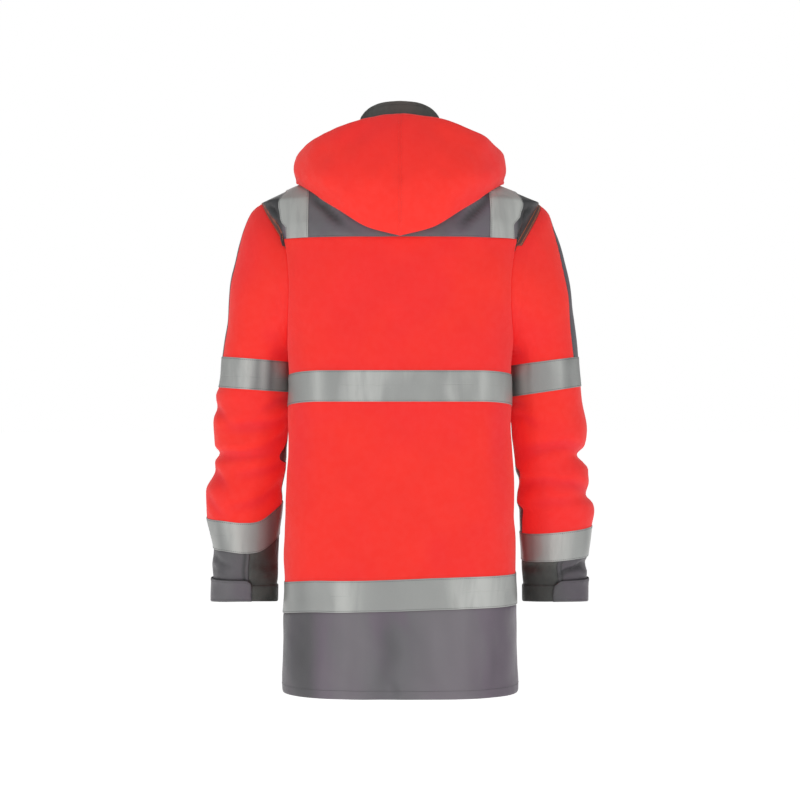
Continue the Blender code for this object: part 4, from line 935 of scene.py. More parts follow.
def cloth_mesh(name, outer, inner, closed, fade):
    """Closed wall between two grids, with its flat pattern in metres as the UV map."""
    rows, columns = outer.shape[:2]
    spans = columns if closed else columns - 1
    count = rows * columns
    place = np.arange(count).reshape(rows, columns)
    j = np.arange(spans)
    k = (j + 1) % columns
    faces = []
    a, b = place[:-1][:, j], place[:-1][:, k]
    c, d = place[1:][:, k], place[1:][:, j]
    top = np.stack([a, b, c, d], axis=-1).reshape(-1, 4)
    faces.append(top)
    faces.append(top[:, ::-1] + count)
    for i, turn in ((0, 1), (rows - 1, -1)):
        rim = np.stack([place[i, j], place[i, j] + count, place[i, k] + count, place[i, k]], axis=-1)
        faces.append(rim[:, ::turn])
    if not closed:
        i = np.arange(rows - 1)
        for side_column, turn in ((0, -1), (columns - 1, 1)):
            here, there = place[i, side_column], place[i + 1, side_column]
            faces.append(np.stack([here, here + count, there + count, there], axis=-1)[:, ::turn])
    quads = np.concatenate(faces)
    points = np.concatenate([outer.reshape(-1, 3), inner.reshape(-1, 3)])
    mesh = bpy.data.meshes.new(name)
    mesh.from_pydata(points.tolist(), [], quads.tolist())
    face_normals = np.cross(points[top[:, 2]] - points[top[:, 0]], points[top[:, 3]] - points[top[:, 1]])
    facing = (outer - inner).reshape(-1, 3)[top[:, 0]]
    if np.sum(face_normals * facing) < 0:
        mesh.flip_normals()
    run = lengths_along(outer, 1)
    run = run - run[:, run.shape[1] // 2][:, None]
    rise = lengths_along(outer, 0)
    rise = np.broadcast_to(rise[:, rise.shape[1] // 2][:, None], run.shape)
    flat = np.stack([run, rise], axis=-1).reshape(-1, 2)
    flat = np.concatenate([flat, flat])
    corners = np.zeros(len(mesh.loops), dtype=np.int32)
    mesh.loops.foreach_get("vertex_index", corners)
    layer = mesh.uv_layers.new(name="flat_pattern")
    layer.uv.foreach_set("vector", flat[corners].ravel().astype(np.float32))
    slots = np.zeros(len(quads), dtype=np.int32)
    slots[len(top):] = LINING_SLOT
    slots[2 * len(top):] = 0
    mesh.polygons.foreach_set("material_index", slots)
    for attribute, values in fade.items():
        both = np.concatenate([values.ravel(), values.ravel()]).astype(np.float32)
        mesh.attributes.new(attribute, "FLOAT", "POINT").data.foreach_set("value", both)
    mesh.update()
    mesh.shade_smooth()
    mesh.set_sharp_from_angle(angle=CLOTH_SHARP)
    return mesh


def link(name, mesh, materials):
    made = bpy.data.objects.new(name, mesh)
    bpy.context.collection.objects.link(made)
    for made_of in materials:
        made.data.materials.append(made_of)
    return made


def trimmed(grid, closed):
    """Draws a grid's edges in by the seam trim."""
    cut = grid.copy()
    edges = [(0, 1, 0), (-1, -2, 0)]
    if not closed:
        edges += [(0, 1, 1), (-1, -2, 1)]
    for edge, beside, axis in edges:
        line = np.take(cut, edge, axis=axis)
        moved = line + SEAM_TRIM * unit(np.take(cut, beside, axis=axis) - line)
        if axis == 0:
            cut[edge] = moved
        else:
            cut[:, edge] = moved
    return cut


# ---------------------------------------------------------------- the pattern's grids, with their relief

def front_side(grid, side):
    return grid if side == "left" else mirrored(grid)


# How far the shoulder tapes' outer edge strays from its column, by yoke row.
STRAP_OUTER = {
    "left": shift((0, -0.50), (0.5, -0.48), (0.75, -0.17), (1, 0.0), (1.4, 0.03), (1.75, 0.10), (2.1, 0.08),
                  (2.4, 0.0), (2.9, -0.30), (4, -0.35)),
    "right": shift((0, -0.50), (0.6, -0.50), (0.9, -0.16), (1.15, 0.10), (1.5, 0.17), (1.85, 0.24),
                   (2.15, 0.23), (2.4, 0.12), (2.7, 0.0), (3.3, -0.15), (4, -0.30)),
}
STRAP_INNER = {"left": 0.0, "right": -0.07}


class Pattern:
    """Every shell grid at full detail, by name: places, face points and outward normals."""

    def __init__(self):
        self.skin = Skin()
        self.shell_of = {}
        self.places = {}
        self.face = {}
        self.normal = {}
        self.crease = {}
        both = np.concatenate([-BODY_COLUMNS[:0:-1], BODY_COLUMNS])
        rows = {side: body_points("back", side, BODY_ROWS, BODY_COLUMNS) for side in SIDES}
        self.add("back", "body", across(rows["left"], rows["right"]), BODY_ROWS, both, INSIDE_BODY)
        yoke = yoke_points("back", YOKE_ROW_PLACES, BODY_COLUMNS)
        end = yoke_end("right")
        past = SIDE_COLUMN + 0.05 * np.arange(end.shape[1], 0, -1)
        self.add("yoke_back", "body", across(yoke, np.concatenate([yoke, end], axis=1)), YOKE_ROW_PLACES,
                 np.concatenate([-past, both]), INSIDE_BODY)
        yoke = yoke_points("front", YOKE_ROW_PLACES, BODY_COLUMNS)
        for side in SIDES:
            front = body_points("front", side, BODY_ROWS, BODY_COLUMNS)
            self.add("front_" + side, "body", front_side(front, side), BODY_ROWS, BODY_COLUMNS, INSIDE_BODY)
            self.add("yoke_front_" + side, "body", front_side(yoke, side), YOKE_ROW_PLACES, BODY_COLUMNS,
                     INSIDE_BODY)
            self.add("sleeve_" + side, "sleeve_" + side, front_side(sleeve_grid(side), side), SLEEVE_ROWS,
                     SLEEVE_PLACES, self.inside_sleeve(side))
        for band, (low, high) in (("chest_tape", CHEST_TAPE_ROWS), ("hem_tape", HEM_TAPE_ROWS)):
            places = divided(low, BODY_ROW_LENGTHS[low:high], TAPE_SPACING, (low, high))
            rows = {side: body_points("back", side, places, BODY_COLUMNS) for side in SIDES}
            self.add(band + "_back", band, across(rows["left"], rows["right"]), places, both, INSIDE_BODY)
            for side in SIDES:
                front = body_points("front", side, places, BODY_COLUMNS)
                self.add(f"{band}_front_{side}", band, front_side(front, side), places, BODY_COLUMNS,
                         INSIDE_BODY)
        for side in SIDES:
            self.add_strap(side)
            for band, (low, high) in (
                    ("upper", UPPER_TAPE_ROWS), ("lower", LOWER_TAPE_ROWS), ("band", BAND_ROWS)):
                places = divided(low, SLEEVE_ROW_LENGTHS[low:high], TAPE_SPACING, (low, high))
                self.add_sleeve(f"{band}_{side}", side, places, SLEEVE_PLACES)
            places = divided(TAB_ROWS[0], SLEEVE_ROW_LENGTHS[TAB_ROWS[0]:TAB_ROWS[1]], TAB_SPACING, TAB_ROWS)
            columns = np.linspace(*TAB_COLUMNS[side], TAB_COLUMN_COUNT)
            self.add_sleeve("tab_" + side, side, places, columns)
        self.settle()

    @staticmethod
    def inside_sleeve(side):
        return (SIGN[side] * INSIDE_SLEEVE[0], *INSIDE_SLEEVE[1:])

    def add(self, name, shell, grid, rows, columns, inside):
        self.skin.add(name, shell, grid, inside)
        self.shell_of[name] = shell if shell.startswith("sleeve") else "body"
        self.places[name] = (np.asarray(rows), np.asarray(columns))

    def add_sleeve(self, name, side, rows, columns):
        grid = front_side(sleeve_points(side, rows, columns), side)
        self.add(name, "sleeve_band_" + name, grid, rows, columns, self.inside_sleeve(side))
        self.shell_of[name] = "sleeve_" + side

    def add_strap(self, side):
        """The shoulder tape, from the back yoke seam over the shoulder to the front one."""
        first, last = SHOULDER_TAPE_COLUMNS
        share = divided(0, (TAPE_WIDTH,), TAPE_SPACING, (0, 1))
        grid = []
        places = []
        for half, rows in (("back", YOKE_ROW_PLACES), ("front", YOKE_ROW_PLACES[-2::-1])):
            for row in rows:
                inner = first + STRAP_INNER[side]
                columns = inner + (last + STRAP_OUTER[side](row) - inner) * share
                grid.append(yoke_points(half, [row], columns)[0])
                places.append(row if half == "back" else 2 * YOKE_ROWS - row)
        name = "strap_" + side
        self.add(name, name, front_side(np.array(grid), side), places, share, INSIDE_BODY)

    def settle(self):
        """Finds the normals and lays the creases into the faces."""
        for name, (grid, _) in self.skin.grids.items():
            self.normal[name] = self.skin.normals(name)
            height, creases = relief(grid, self.shell_of[name])
            self.face[name] = grid + self.normal[name] * height[..., None]
            self.crease[name] = creases / CREASE_DEPTH

    def cut(self, name, rows=None, columns=None):
        """The part of a grid between two rows and two columns: face, normals and places."""
        row_places, column_places = self.places[name]
        i, j = self.window(name, rows, columns)
        return self.face[name][i, j], self.normal[name][i, j], (row_places[i], column_places[j])

    def creases(self, name, rows=None, columns=None):
        """How deep in a crease each point of a cut lies, from 0 to 1."""
        i, j = self.window(name, rows, columns)
        return np.clip(-self.crease[name][i, j], 0, 1)

    def window(self, name, rows, columns):
        chosen = []
        for places, limits in zip(self.places[name], (rows, columns)):
            if limits is None:
                chosen.append(slice(None))
            else:
                inside = np.nonzero((places >= limits[0] - 1e-6) & (places <= limits[1] + 1e-6))[0]
                chosen.append(slice(inside[0], inside[-1] + 1))
        return chosen


_made = {"pattern": None, "stitches": {}}


def pattern():
    if _made["pattern"] is None:
        _made["pattern"] = Pattern()
    return _made["pattern"]


def line_inside(grid, normals, edge, distance, ends):
    """The line on a face at a distance inside one of its edges, with the normals along it."""
    if edge in ("start", "end"):
        grid = grid.transpose(1, 0, 2)
        normals = normals.transpose(1, 0, 2)
    if edge in ("high", "end"):
        grid = grid[::-1]
        normals = normals[::-1]
    down = lengths_along(grid, 0)
    points = []
    facing = []
    for j in range(grid.shape[1]):
        i = min(max(int(np.searchsorted(down[:, j], distance)) - 1, 0), grid.shape[0] - 2)
        t = min(max((distance - down[i, j]) / max(down[i + 1, j] - down[i, j], 1e-9), 0.0), 1.0)
        points.append(grid[i, j] * (1 - t) + grid[i + 1, j] * t)
        facing.append(normals[i, j] * (1 - t) + normals[i + 1, j] * t)
    points = np.array(points)
    run = np.concatenate([[0], np.cumsum(np.linalg.norm(np.diff(points, axis=0), axis=1))])
    keep = (run >= ends) & (run <= run[-1] - ends)
    return points[keep], unit(np.array(facing)[keep])


def sew(thread, sewn, edges, *distances, ends=0.0015):
    """Notes rows of stitches along the edges of a face, to be sewn by the stitching operator."""
    for edge in edges.split():
        for distance in distances:
            _made["stitches"].setdefault(thread, []).append(line_inside(*sewn, edge, distance, ends))


def ringed(grid):
    return np.concatenate([grid, grid[:, :1]], axis=1)


def cloth(node, part, colour, thickness, finish, lift=0.0, closed=False, rests_on=(), fade=None, slot=None):
    """One cloth piece that stands for a node of the same name. Returns its face and normals for sewing."""
    face, normals = part[:2]
    fade = fade or {}
    if closed:
        face, normals = face[:, :-1], normals[:, :-1]
        fade = {name: values[:, :-1] for name, values in fade.items()}
    cut = trimmed(face, closed)
    drop = np.minimum(finish.drop(face, closed), 0.46 * thickness)
    rolled = np.minimum(replace(finish, stitched="").drop(face, closed), 0.36 * thickness)
    outer = cut + normals * (lift - drop)[..., None]
    inner = cut + normals * (lift - thickness + rolled)[..., None]
    mesh = cloth_mesh(node + "_cloth", outer, inner, closed, fade)
    piece = link(node + "_cloth", mesh, [finish_of(colour), finish_of("lining")])
    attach(piece, "jacket")
    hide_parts(node)
    return (ringed(outer), ringed(normals)) if closed else (outer, normals)


# ---------------------------------------------------------------- settings

def colour_setting(name, description, *default):
    return bpy.props.FloatVectorProperty(name=name, description=description, default=default, subtype="COLOR",
                                         size=3, min=0, max=1)


def length_setting(name, description, default):
    return bpy.props.FloatProperty(name=name, description=description, default=default, unit="LENGTH",
                                   precision=5)


def number_setting(name, description, default):
    return bpy.props.FloatProperty(name=name, description=description, default=default)


class JacketColours(bpy.types.PropertyGroup):
    """Colours of the cloths, tapes, threads and metal."""

    red: colour_setting("Red cloth", "Fluorescent red outer cloth", 0.698, 0.0222, 0.0115)
    red_deep: colour_setting("Red cloth, deeper", "Deeper patches of the red cloth", 0.675, 0.0178, 0.0155)
    # Painted shade: the crimson painted into the troughs of creases.
    red_crease_shade: colour_setting(
        "Red cloth, in creases", "Crimson in the troughs of creases", 0.56, 0.013, 0.026)
    # Painted glow: light that the red cloth gives off, lifting its shaded parts.
    red_painted_glow: colour_setting(
        "Red cloth, glow", "Light that the fluorescent dye gives off", 0.90, 0.018, 0.026)
    grey: colour_setting("Grey cloth", "Coated grey cloth of yokes, hem and cuffs", 0.112, 0.108, 0.118)
    grey_tint: colour_setting("Grey cloth, tinted", "Purplish patches of the grey cloth", 0.118, 0.094, 0.122)
    # Painted shade in creases, on the hem's sides, along the cuffs' seams and the tabs' edges; the same colour
    # also darkens the yoke's armhole ends, the sleeve strips and the cuffs.
    grey_shade: colour_setting(
        "Grey cloth, shaded", "Darker grey cloth beside the armholes", 0.030, 0.0305, 0.033)
    dark: colour_setting("Dark cloth", "Collar, cuff linings and cuff bands", 0.040, 0.042, 0.039)
    lining: colour_setting("Lining", "Charcoal lining inside the jacket", 0.035, 0.036, 0.040)
    tape: colour_setting("Reflective tape", "Silver-grey reflective tape", 0.270, 0.279, 0.270)
    # Painted highlight patches of the tape.
    tape_painted_highlight: colour_setting("Reflective tape, bright", "Brighter patches of the tape", 0.39, 0.40, 0.385)
    orange_thread: colour_setting("Orange thread", "Twin stitching beside the armholes", 0.72, 0.15, 0.06)
    red_thread: colour_setting("Red thread", "Stitching on the red cloth", 0.86, 0.030, 0.022)
    grey_thread: colour_setting("Grey thread", "Stitching on grey cloth and tape", 0.062, 0.062, 0.066)
    metal: colour_setting("Zip metal", "Slider and pull", 0.26, 0.26, 0.27)


class JacketSizes(bpy.types.PropertyGroup):
    """Sizes of cloth, weave and stitches."""

    cloth: length_setting("Cloth", "Thickness of the body cloth with its lining", 0.0020)
    tape: length_setting("Tape", "Thickness of the reflective tape", 0.0010)
    band: length_setting("Cuff band", "Thickness of the cuff band", 0.0020)
    tab: length_setting("Cuff tab", "Thickness of the cuff tab", 0.0022)
    collar: length_setting("Collar", "Thickness of the stand collar", 0.0028)
    hood: length_setting("Hood", "Thickness of the hood's wall", 0.0022)
    weave: length_setting("Weave", "Distance between threads of the cloth", 0.00075)
    stitch_pitch: length_setting("Stitch pitch", "Distance from one stitch to the next", 0.0034)
    stitch_length: length_setting("Stitch length", "Length of one stitch", 0.0027)
    thread: length_setting("Thread", "Thickness of the thread", 0.00080)
    tooth_pitch: length_setting("Zip tooth pitch", "Distance between teeth on one side of the zip", 0.0030)


class JacketStage(bpy.types.PropertyGroup):
    """Floor, lights and camera."""

    distance: length_setting("Camera distance", "Camera behind the middle of the jacket", 3.23)
    height: length_setting("Camera height", "Camera height above the neck", -0.397)
    lens: number_setting("Lens", "Focal length in millimetres", 87.165)
    floor: length_setting("Floor height", "Height of the floor", -1.45)
    key: number_setting("Key light", "Power of the soft light by the camera", 20.0)
    fill: number_setting("Fill light", "Power of the side and front lights", 9.0)
    streak: number_setting("Streak lights", "Power of the two tall lights either side of the camera", 16.0)
    ambient: number_setting("Ambient", "Strength of the white surroundings", 0.40)


def settings():
    scene = bpy.context.scene
    return scene.jacket_sizes, scene.jacket_colours, scene.jacket_stage


# ---------------------------------------------------------------- finishes

class Nodes:
    """Short hand for building a material's node tree."""

    def __init__(self, name):
        self.material = bpy.data.materials.new(name)
        self.material.use_nodes = True
        self.tree = self.material.node_tree
        self.shader = self.tree.nodes["Principled BSDF"]

    def add(self, kind, inputs=(), **options):
        node = self.tree.nodes.new(kind)
        for option, value in options.items():
            setattr(node, option, value)
        for socket, value in dict(inputs).items():
            self.put(node.inputs[socket], value)
        return node

    def put(self, socket, value):
        if isinstance(value, bpy.types.NodeSocket):
            self.tree.links.new(value, socket)
        elif socket.type == "RGBA":
            socket.default_value = (*value, 1.0)
        else:
            socket.default_value = value

    def place(self):
        return self.add("ShaderNodeTexCoord").outputs["Object"]

    def attribute(self, name):
        return self.add("ShaderNodeAttribute", attribute_name=name).outputs["Fac"]

    def math(self, operation, a, b=0.0):
        return self.add("ShaderNodeMath", {0: a, 1: b}, operation=operation).outputs[0]

    def times(self, a, b):
        return self.math("MULTIPLY", a, b)

    def noise(self, vector, scale, detail, roughness=0.5, distortion=0.0):
        return self.add("ShaderNodeTexNoise", {"Vector": vector, "Scale": scale, "Detail": detail,
                                               "Roughness": roughness, "Distortion": distortion}).outputs["Fac"]

    def stretch(self, vector, scale):
        return self.add("ShaderNodeMapping", {"Vector": vector, "Scale": scale}).outputs[0]

    def ramp(self, value, low, high, to_low=0.0, to_high=1.0):
        inputs = {"Value": value, "From Min": low, "From Max": high, "To Min": to_low, "To Max": to_high}
        return self.add("ShaderNodeMapRange", inputs, interpolation_type="SMOOTHSTEP").outputs[0]

    def rough(self, grain, low, high):
        return self.ramp(grain, 0.3, 0.7, low, high)

    def mix(self, share, a, b):
        return self.add("ShaderNodeMix", {0: share, 6: a, 7: b}, data_type="RGBA").outputs[2]

    def bump(self, height, distance, strength, base=None):
        node = self.add("ShaderNodeBump", {"Height": height, "Distance": distance, "Strength": strength})
        if base is not None:
            self.put(node.inputs["Normal"], base)
        return node.outputs["Normal"]

    def flat(self):
        """The piece's flat pattern in metres, as X and Y."""
        uv = self.add("ShaderNodeUVMap", uv_map="flat_pattern").outputs[0]
        apart = self.add("ShaderNodeSeparateXYZ", {0: uv})
        return uv, apart.outputs[0], apart.outputs[1]

    def weave(self, pitch):
        """Height of a plain weave, from 0 to 1."""
        _, u, v = self.flat()
        over = self.math("DIVIDE", u, pitch)
        up = self.math("DIVIDE", v, pitch)
        warp = self.math("ABSOLUTE", self.math("SINE", self.times(over, math.pi)))
        weft = self.math("ABSOLUTE", self.math("SINE", self.times(up, math.pi)))
        steps = self.math("ADD", self.math("FLOOR", over), self.math("FLOOR", up))
        turn = self.math("FLOORED_MODULO", steps, 2.0)
        other = self.math("SUBTRACT", 1.0, turn)
        return self.math("ADD", self.times(warp, turn), self.times(weft, other))

    def surface(self, **values):
        names = {"colour": "Base Color", "roughness": "Roughness", "metallic": "Metallic", "normal": "Normal",
                 "sheen": "Sheen Weight", "sheen_roughness": "Sheen Roughness",
                 "specular": "Specular IOR Level", "glow": "Emission Color",
                 "glow_strength": "Emission Strength"}
        for name, value in values.items():
            self.put(self.shader.inputs[names[name]], value)
        return self.material


def red_cloth(sizes, colours):
    """Fluorescent red polyester: a fine plain weave, with softly deeper patches and small puckers, painted
    shade in creases and a painted glow.
    """
    n = Nodes("red_cloth_weave")
    place = n.place()
    broad = n.ramp(n.noise(place, 5.5, 2.0, 0.5, 0.4), 0.40, 0.68)
    colour = n.mix(n.times(broad, 0.8), colours.red, colours.red_deep)
    weave = n.weave(sizes.weave)
    thread = n.noise(n.stretch(place, (260.0, 260.0, 40.0)), 3.0, 2.0)
    colour = n.mix(n.times(n.ramp(thread, 0.55, 0.85), 0.10), colour, (0.60, 0.014, 0.011))
    # Painted shade: creases are painted crimson, more so in deeper troughs.
    crease = n.attribute("crease")
    colour = n.mix(n.times(crease, 0.50), colour, colours.red_crease_shade)
    ripple = n.noise(place, 38.0, 3.0, 0.55)
    base = n.bump(ripple, 0.0012, 0.35)
    normal = n.bump(weave, 0.00010, 0.55, base)
    roughness = n.rough(n.noise(place, 90.0, 2.0), 0.66, 0.80)
    # Painted glow: the red cloth is given a glow that lifts its shaded parts.
    return n.surface(colour=colour, roughness=roughness, normal=normal, sheen=0.10, sheen_roughness=0.5,
                     specular=0.30, glow=colours.red_painted_glow, glow_strength=0.2)


def grey_cloth(sizes, colours):
    """Coated grey polyester: tighter weave with a low sheen, purplish patches, painted sheen on the hem's
    ridges, and painted shade in creases.
    """
    n = Nodes("grey_cloth_weave")
    place = n.place()
    tall = n.stretch(place, (1.0, 1.0, 0.45))
    patch_share = n.ramp(n.noise(tall, 9.0, 2.5, 0.55, 0.6), 0.42, 0.60)
    colour = n.mix(patch_share, colours.grey, colours.grey_tint)
    pale = n.ramp(n.noise(tall, 14.0, 3.0, 0.6, 0.3), 0.52, 0.72)
    colour = n.mix(n.times(pale, 0.35), colour, (0.150, 0.142, 0.150))
    shade = n.attribute("shade")
    crease = n.attribute("crease")
    ridge = n.attribute("ridge")
    # Painted sheen where the ridge attribute is set, on the hem's ridges.
    colour = n.mix(n.times(ridge, 0.85), colour, (0.156, 0.141, 0.158))
    # Painted shade in creases: they darken the cloth towards the shaded grey as the shade attribute does, and
    # are painted nearly black where both meet.
    colour = n.mix(n.math("MAXIMUM", shade, n.times(crease, 0.7)), colour, colours.grey_shade)
    colour = n.mix(n.times(shade, crease), colour, (0.006, 0.006, 0.007))
    warm = n.attribute("warm")
    colour = n.mix(warm, colour, (0.260, 0.085, 0.045))
    fleck = n.ramp(n.noise(place, 900.0, 1.0), 0.62, 0.75)
    colour = n.mix(n.times(fleck, 0.12), colour, (0.21, 0.20, 0.21))
    ripple = n.noise(place, 30.0, 3.0, 0.55, 0.3)
    base = n.bump(ripple, 0.0016, 0.40)
    normal = n.bump(n.weave(sizes.weave * 0.8), 0.00008, 0.45, base)
    roughness = n.rough(n.noise(tall, 22.0, 3.0), 0.36, 0.50)
    return n.surface(colour=colour, roughness=roughness, normal=normal, sheen=0.03, sheen_roughness=0.4,
                     specular=0.45)


def dark_cloth(sizes, colours):
    """Dark ribbed cloth of the collar, cuff linings and bands, with a painted highlight on the collar's middle.
    """
    n = Nodes("dark_cloth_weave")
    place = n.place()
    patch_share = n.ramp(n.noise(place, 16.0, 3.0, 0.6, 0.4), 0.40, 0.66)
    colour = n.mix(patch_share, colours.dark, (0.070, 0.072, 0.066))
    # Painted highlight where the pale attribute is set.
    pale = n.attribute("pale")
    colour = n.mix(pale, colour, (0.088, 0.075, 0.068))
    ripple = n.noise(place, 55.0, 3.0, 0.6)
    base = n.bump(ripple, 0.0012, 0.5)
    normal = n.bump(n.weave(sizes.weave * 1.1), 0.00016, 0.6, base)
    roughness = n.rough(n.noise(place, 70.0, 2.0), 0.50, 0.68)
    return n.surface(colour=colour, roughness=roughness, normal=normal, sheen=0.08, sheen_roughness=0.5,
                     specular=0.45)


def lining_cloth(sizes, colours):
    """Smooth charcoal lining inside the jacket, with a fine twill."""
    n = Nodes("lining_twill")
    place = n.place()
    _, u, v = n.flat()
    slant = n.math("SINE", n.times(n.math("ADD", u, v), 2 * math.pi / 0.0011))
    colour = n.mix(n.ramp(n.noise(place, 12.0, 2.0), 0.35, 0.7), colours.lining, (0.050, 0.050, 0.054))
    normal = n.bump(slant, 0.00006, 0.5, n.bump(n.noise(place, 26.0, 2.0), 0.0016, 0.4))
    roughness = n.rough(n.noise(place, 40.0, 2.0), 0.42, 0.56)
    return n.surface(colour=colour, roughness=roughness, normal=normal, sheen=0.06, sheen_roughness=0.4,
                     specular=0.5)


def silver_tape(sizes, colours):
    """Reflective tape: fine glass beads, painted highlight patches and streaks, painted highlights and shade
    from its glint attribute, and a faint middle crease.
    """
    n = Nodes("silver_tape_beads")
    place = n.place()
    uv, _, v = n.flat()
    tall = n.stretch(place, (1.0, 0.6, 0.35))
    patches = n.noise(tall, 11.0, 2.0, 0.5, 0.5)
    streaks = n.noise(n.stretch(place, (1.0, 0.6, 0.16)), 46.0, 3.0, 0.6, 0.8)
    # Painted highlight: soft brighter patches and streaks.
    bright = n.times(n.ramp(patches, 0.50, 0.66), n.ramp(streaks, 0.30, 0.62, 0.45, 1.0))
    colour = n.mix(bright, colours.tape, colours.tape_painted_highlight)
    # Painted highlights and painted shade from the glint attribute.
    glint = n.attribute("glint")
    lit = n.times(n.math("MAXIMUM", glint, 0.0), n.ramp(streaks, 0.30, 0.60, 0.35, 1.0))
    colour = n.mix(lit, colour, (0.47, 0.48, 0.46))
    colour = n.mix(n.math("MAXIMUM", n.times(glint, -1.0), 0.0), colour, (0.115, 0.118, 0.120))
    beads = n.noise(place, 2400.0, 1.0)
    colour = n.mix(n.times(n.ramp(beads, 0.56, 0.74), 0.22), colour, (0.56, 0.57, 0.55))
    crease = n.math("ABSOLUTE", n.math("SUBTRACT", v, n.math("ADD", 0.0255, n.math(
        "MULTIPLY", n.noise(uv, 6.0, 1.0), 0.004))))
    line = n.times(n.ramp(crease, 0.0, 0.0011, 1.0, 0.0), n.ramp(patches, 0.50, 0.60))
    height = n.math("ADD", n.times(streaks, 0.5), n.times(line, -0.35))
    base = n.bump(height, 0.0011, 0.55)
    normal = n.bump(beads, 0.00004, 0.4, base)
    roughness = n.rough(beads, 0.30, 0.44)
    return n.surface(colour=colour, roughness=roughness, normal=normal, metallic=0.08, specular=0.40)


def thread_finish(name, colour):
    n = Nodes(name)
    place = n.place()
    twist = n.noise(place, 1800.0, 2.0)
    shade = n.mix(n.ramp(twist, 0.35, 0.7), tuple(c * 0.78 for c in colour), tuple(colour))
    return n.surface(colour=shade, roughness=0.55, normal=n.bump(twist, 0.0001, 0.5), sheen=0.2,
                     sheen_roughness=0.4, specular=0.4)


def zip_metal(sizes, colours):
    """Gunmetal die-cast: fine grain, and patches of bright wear."""
    n = Nodes("zip_metal_gunmetal")
    place = n.place()
    grain = n.noise(place, 1500.0, 3.0)
    worn = n.ramp(n.noise(place, 260.0, 3.0, 0.6), 0.50, 0.70)
    colour = n.mix(n.times(worn, 0.5), colours.metal, (0.46, 0.46, 0.46))
    roughness = n.rough(grain, 0.28, 0.44)
    return n.surface(colour=colour, roughness=roughness, normal=n.bump(grain, 0.00005, 0.4), metallic=0.9)


def zip_moulding(sizes, colours):
    """Dark moulded teeth."""
    n = Nodes("zip_teeth_moulding")
    place = n.place()
    grain = n.noise(place, 1200.0, 2.0)
    colour = n.mix(n.ramp(grain, 0.4, 0.7), (0.030, 0.031, 0.033), (0.048, 0.049, 0.052))
    return n.surface(colour=colour, roughness=n.rough(grain, 0.34, 0.46), normal=n.bump(grain, 0.00004, 0.4),
                     specular=0.5)


_finishes = {}
FINISH_MAKERS = {"red": red_cloth, "grey": grey_cloth, "dark": dark_cloth, "lining": lining_cloth,
                 "tape": silver_tape, "metal": zip_metal, "moulding": zip_moulding}


def finish_of(name):
    """The finish of that name, made the first time it is asked for."""
    if name not in _finishes:
        sizes, colours, _ = settings()
        if name.endswith("_thread"):
            _finishes[name] = thread_finish(name, tuple(getattr(colours, name)))
        else:
            _finishes[name] = FINISH_MAKERS[name](sizes, colours)
    return _finishes[name]


# ---------------------------------------------------------------- body, sleeves and cuffs

# Distances of rows of stitches from the edges that they follow.
SEAM_STITCHES = 0.0020
FRONT_STITCHES = (0.0020, 0.0075)
HEM_STITCHES = 0.0140
ARMHOLE_STITCHES = {"start": (0.0022, 0.0085), "end": (0.0030, 0.0125)}
TAPE_STITCHES = 0.0022
CUFF_STITCHES = (0.0018, 0.0062)
# Distances of the painted shade lines along the cuff's seams.
CUFF_SEAM_LINES = (0.0, 0.0080)
BAND_STITCHES = 0.0024
TAB_STITCHES = 0.0040
TAB_CORNER = {"left": 0.013, "right": 0.020}
# Shares of the darker grey.
STRIP_SHADE = 0.46
CUFF_SHADE = {"left": 0.46, "right": 0.62}
TAB_SHADE = {"left": 0.16, "right": 0.50}
# Painted sheen: paler patches of the hem where its ridges catch the light: x, width and strength.
HEM_SHEEN_PATCHES = ((0.080, 0.034, 0.95), (-0.046, 0.026, 0.70), (-0.094, 0.032, 1.00))
# Where each tape catches the light or lies in shade: x on the body or column round a sleeve, width and
# strength.
TAPE_GLINTS = {
    "chest_tape": ((0, 40, -0.10), (0.133, 0.014, 0.55), (-0.131, 0.014, 0.50), (0.060, 0.020, 0.20),
                   (-0.040, 0.016, 0.15)),
    "hem_tape": ((0.085, 0.022, 0.60), (-0.094, 0.018, 0.65), (-0.128, 0.016, 0.45), (0.020, 0.030, -0.12),
                 (0.158, 0.012, -0.25)),
    "upper_left": ((4.5, 0.35, 0.75), (5.1, 0.22, -0.45), (5.55, 0.20, 0.15), (6.0, 0.35, -0.60),
                   (0, 40, -0.30), (12.8, 0.8, 0.55), (10.8, 0.9, -0.40)),
    "upper_right": ((4.3, 0.45, 0.45), (6.5, 0.40, 0.45), (7.5, 0.50, -0.60), (3.2, 0.5, -0.25),
                    (0, 40, -0.28), (12.6, 0.8, 0.55), (10.6, 0.9, -0.40)),
    "lower_left": ((4.5, 0.60, 0.95), (3.0, 0.5, -0.25), (7.0, 0.7, -0.45), (0, 40, -0.30),
                   (13.2, 0.8, 0.60), (10.8, 0.9, -0.40)),
    "lower_right": ((4.8, 0.75, 0.75), (6.9, 0.35, -0.35), (7.9, 0.5, -0.50), (2.2, 0.5, -0.25),
                    (13.0, 0.8, 0.50), (10.6, 0.9, -0.40)),
}
# Painted highlight over each whole shoulder tape.
STRAP_GLINT = {"left": 0.40, "right": 0.56}


def glints(places, spots):
    return sum(strength * np.exp(-((places - centre) / width) ** 2) for centre, width, strength in spots)


def turned(stitched="", **changes):
    return Finish(stitched, **{"roll": 0.0009, "width": 0.0026, **changes})


def seam_lines(grid, edges, *distances):
    """Lines at some distances from a piece's edges, as a share from 0 to 1: painted shade along the cuffs'
    seams and the tabs' edges, and the warm lines beside the armholes.
    """
    far = edge_distances(grid, False)
    total = np.zeros(grid.shape[:2])
    for edge in edges.split():
        for distance in distances:
            total = np.maximum(total, np.exp(-((far[edge] - distance) / 0.0013) ** 2))
    return total


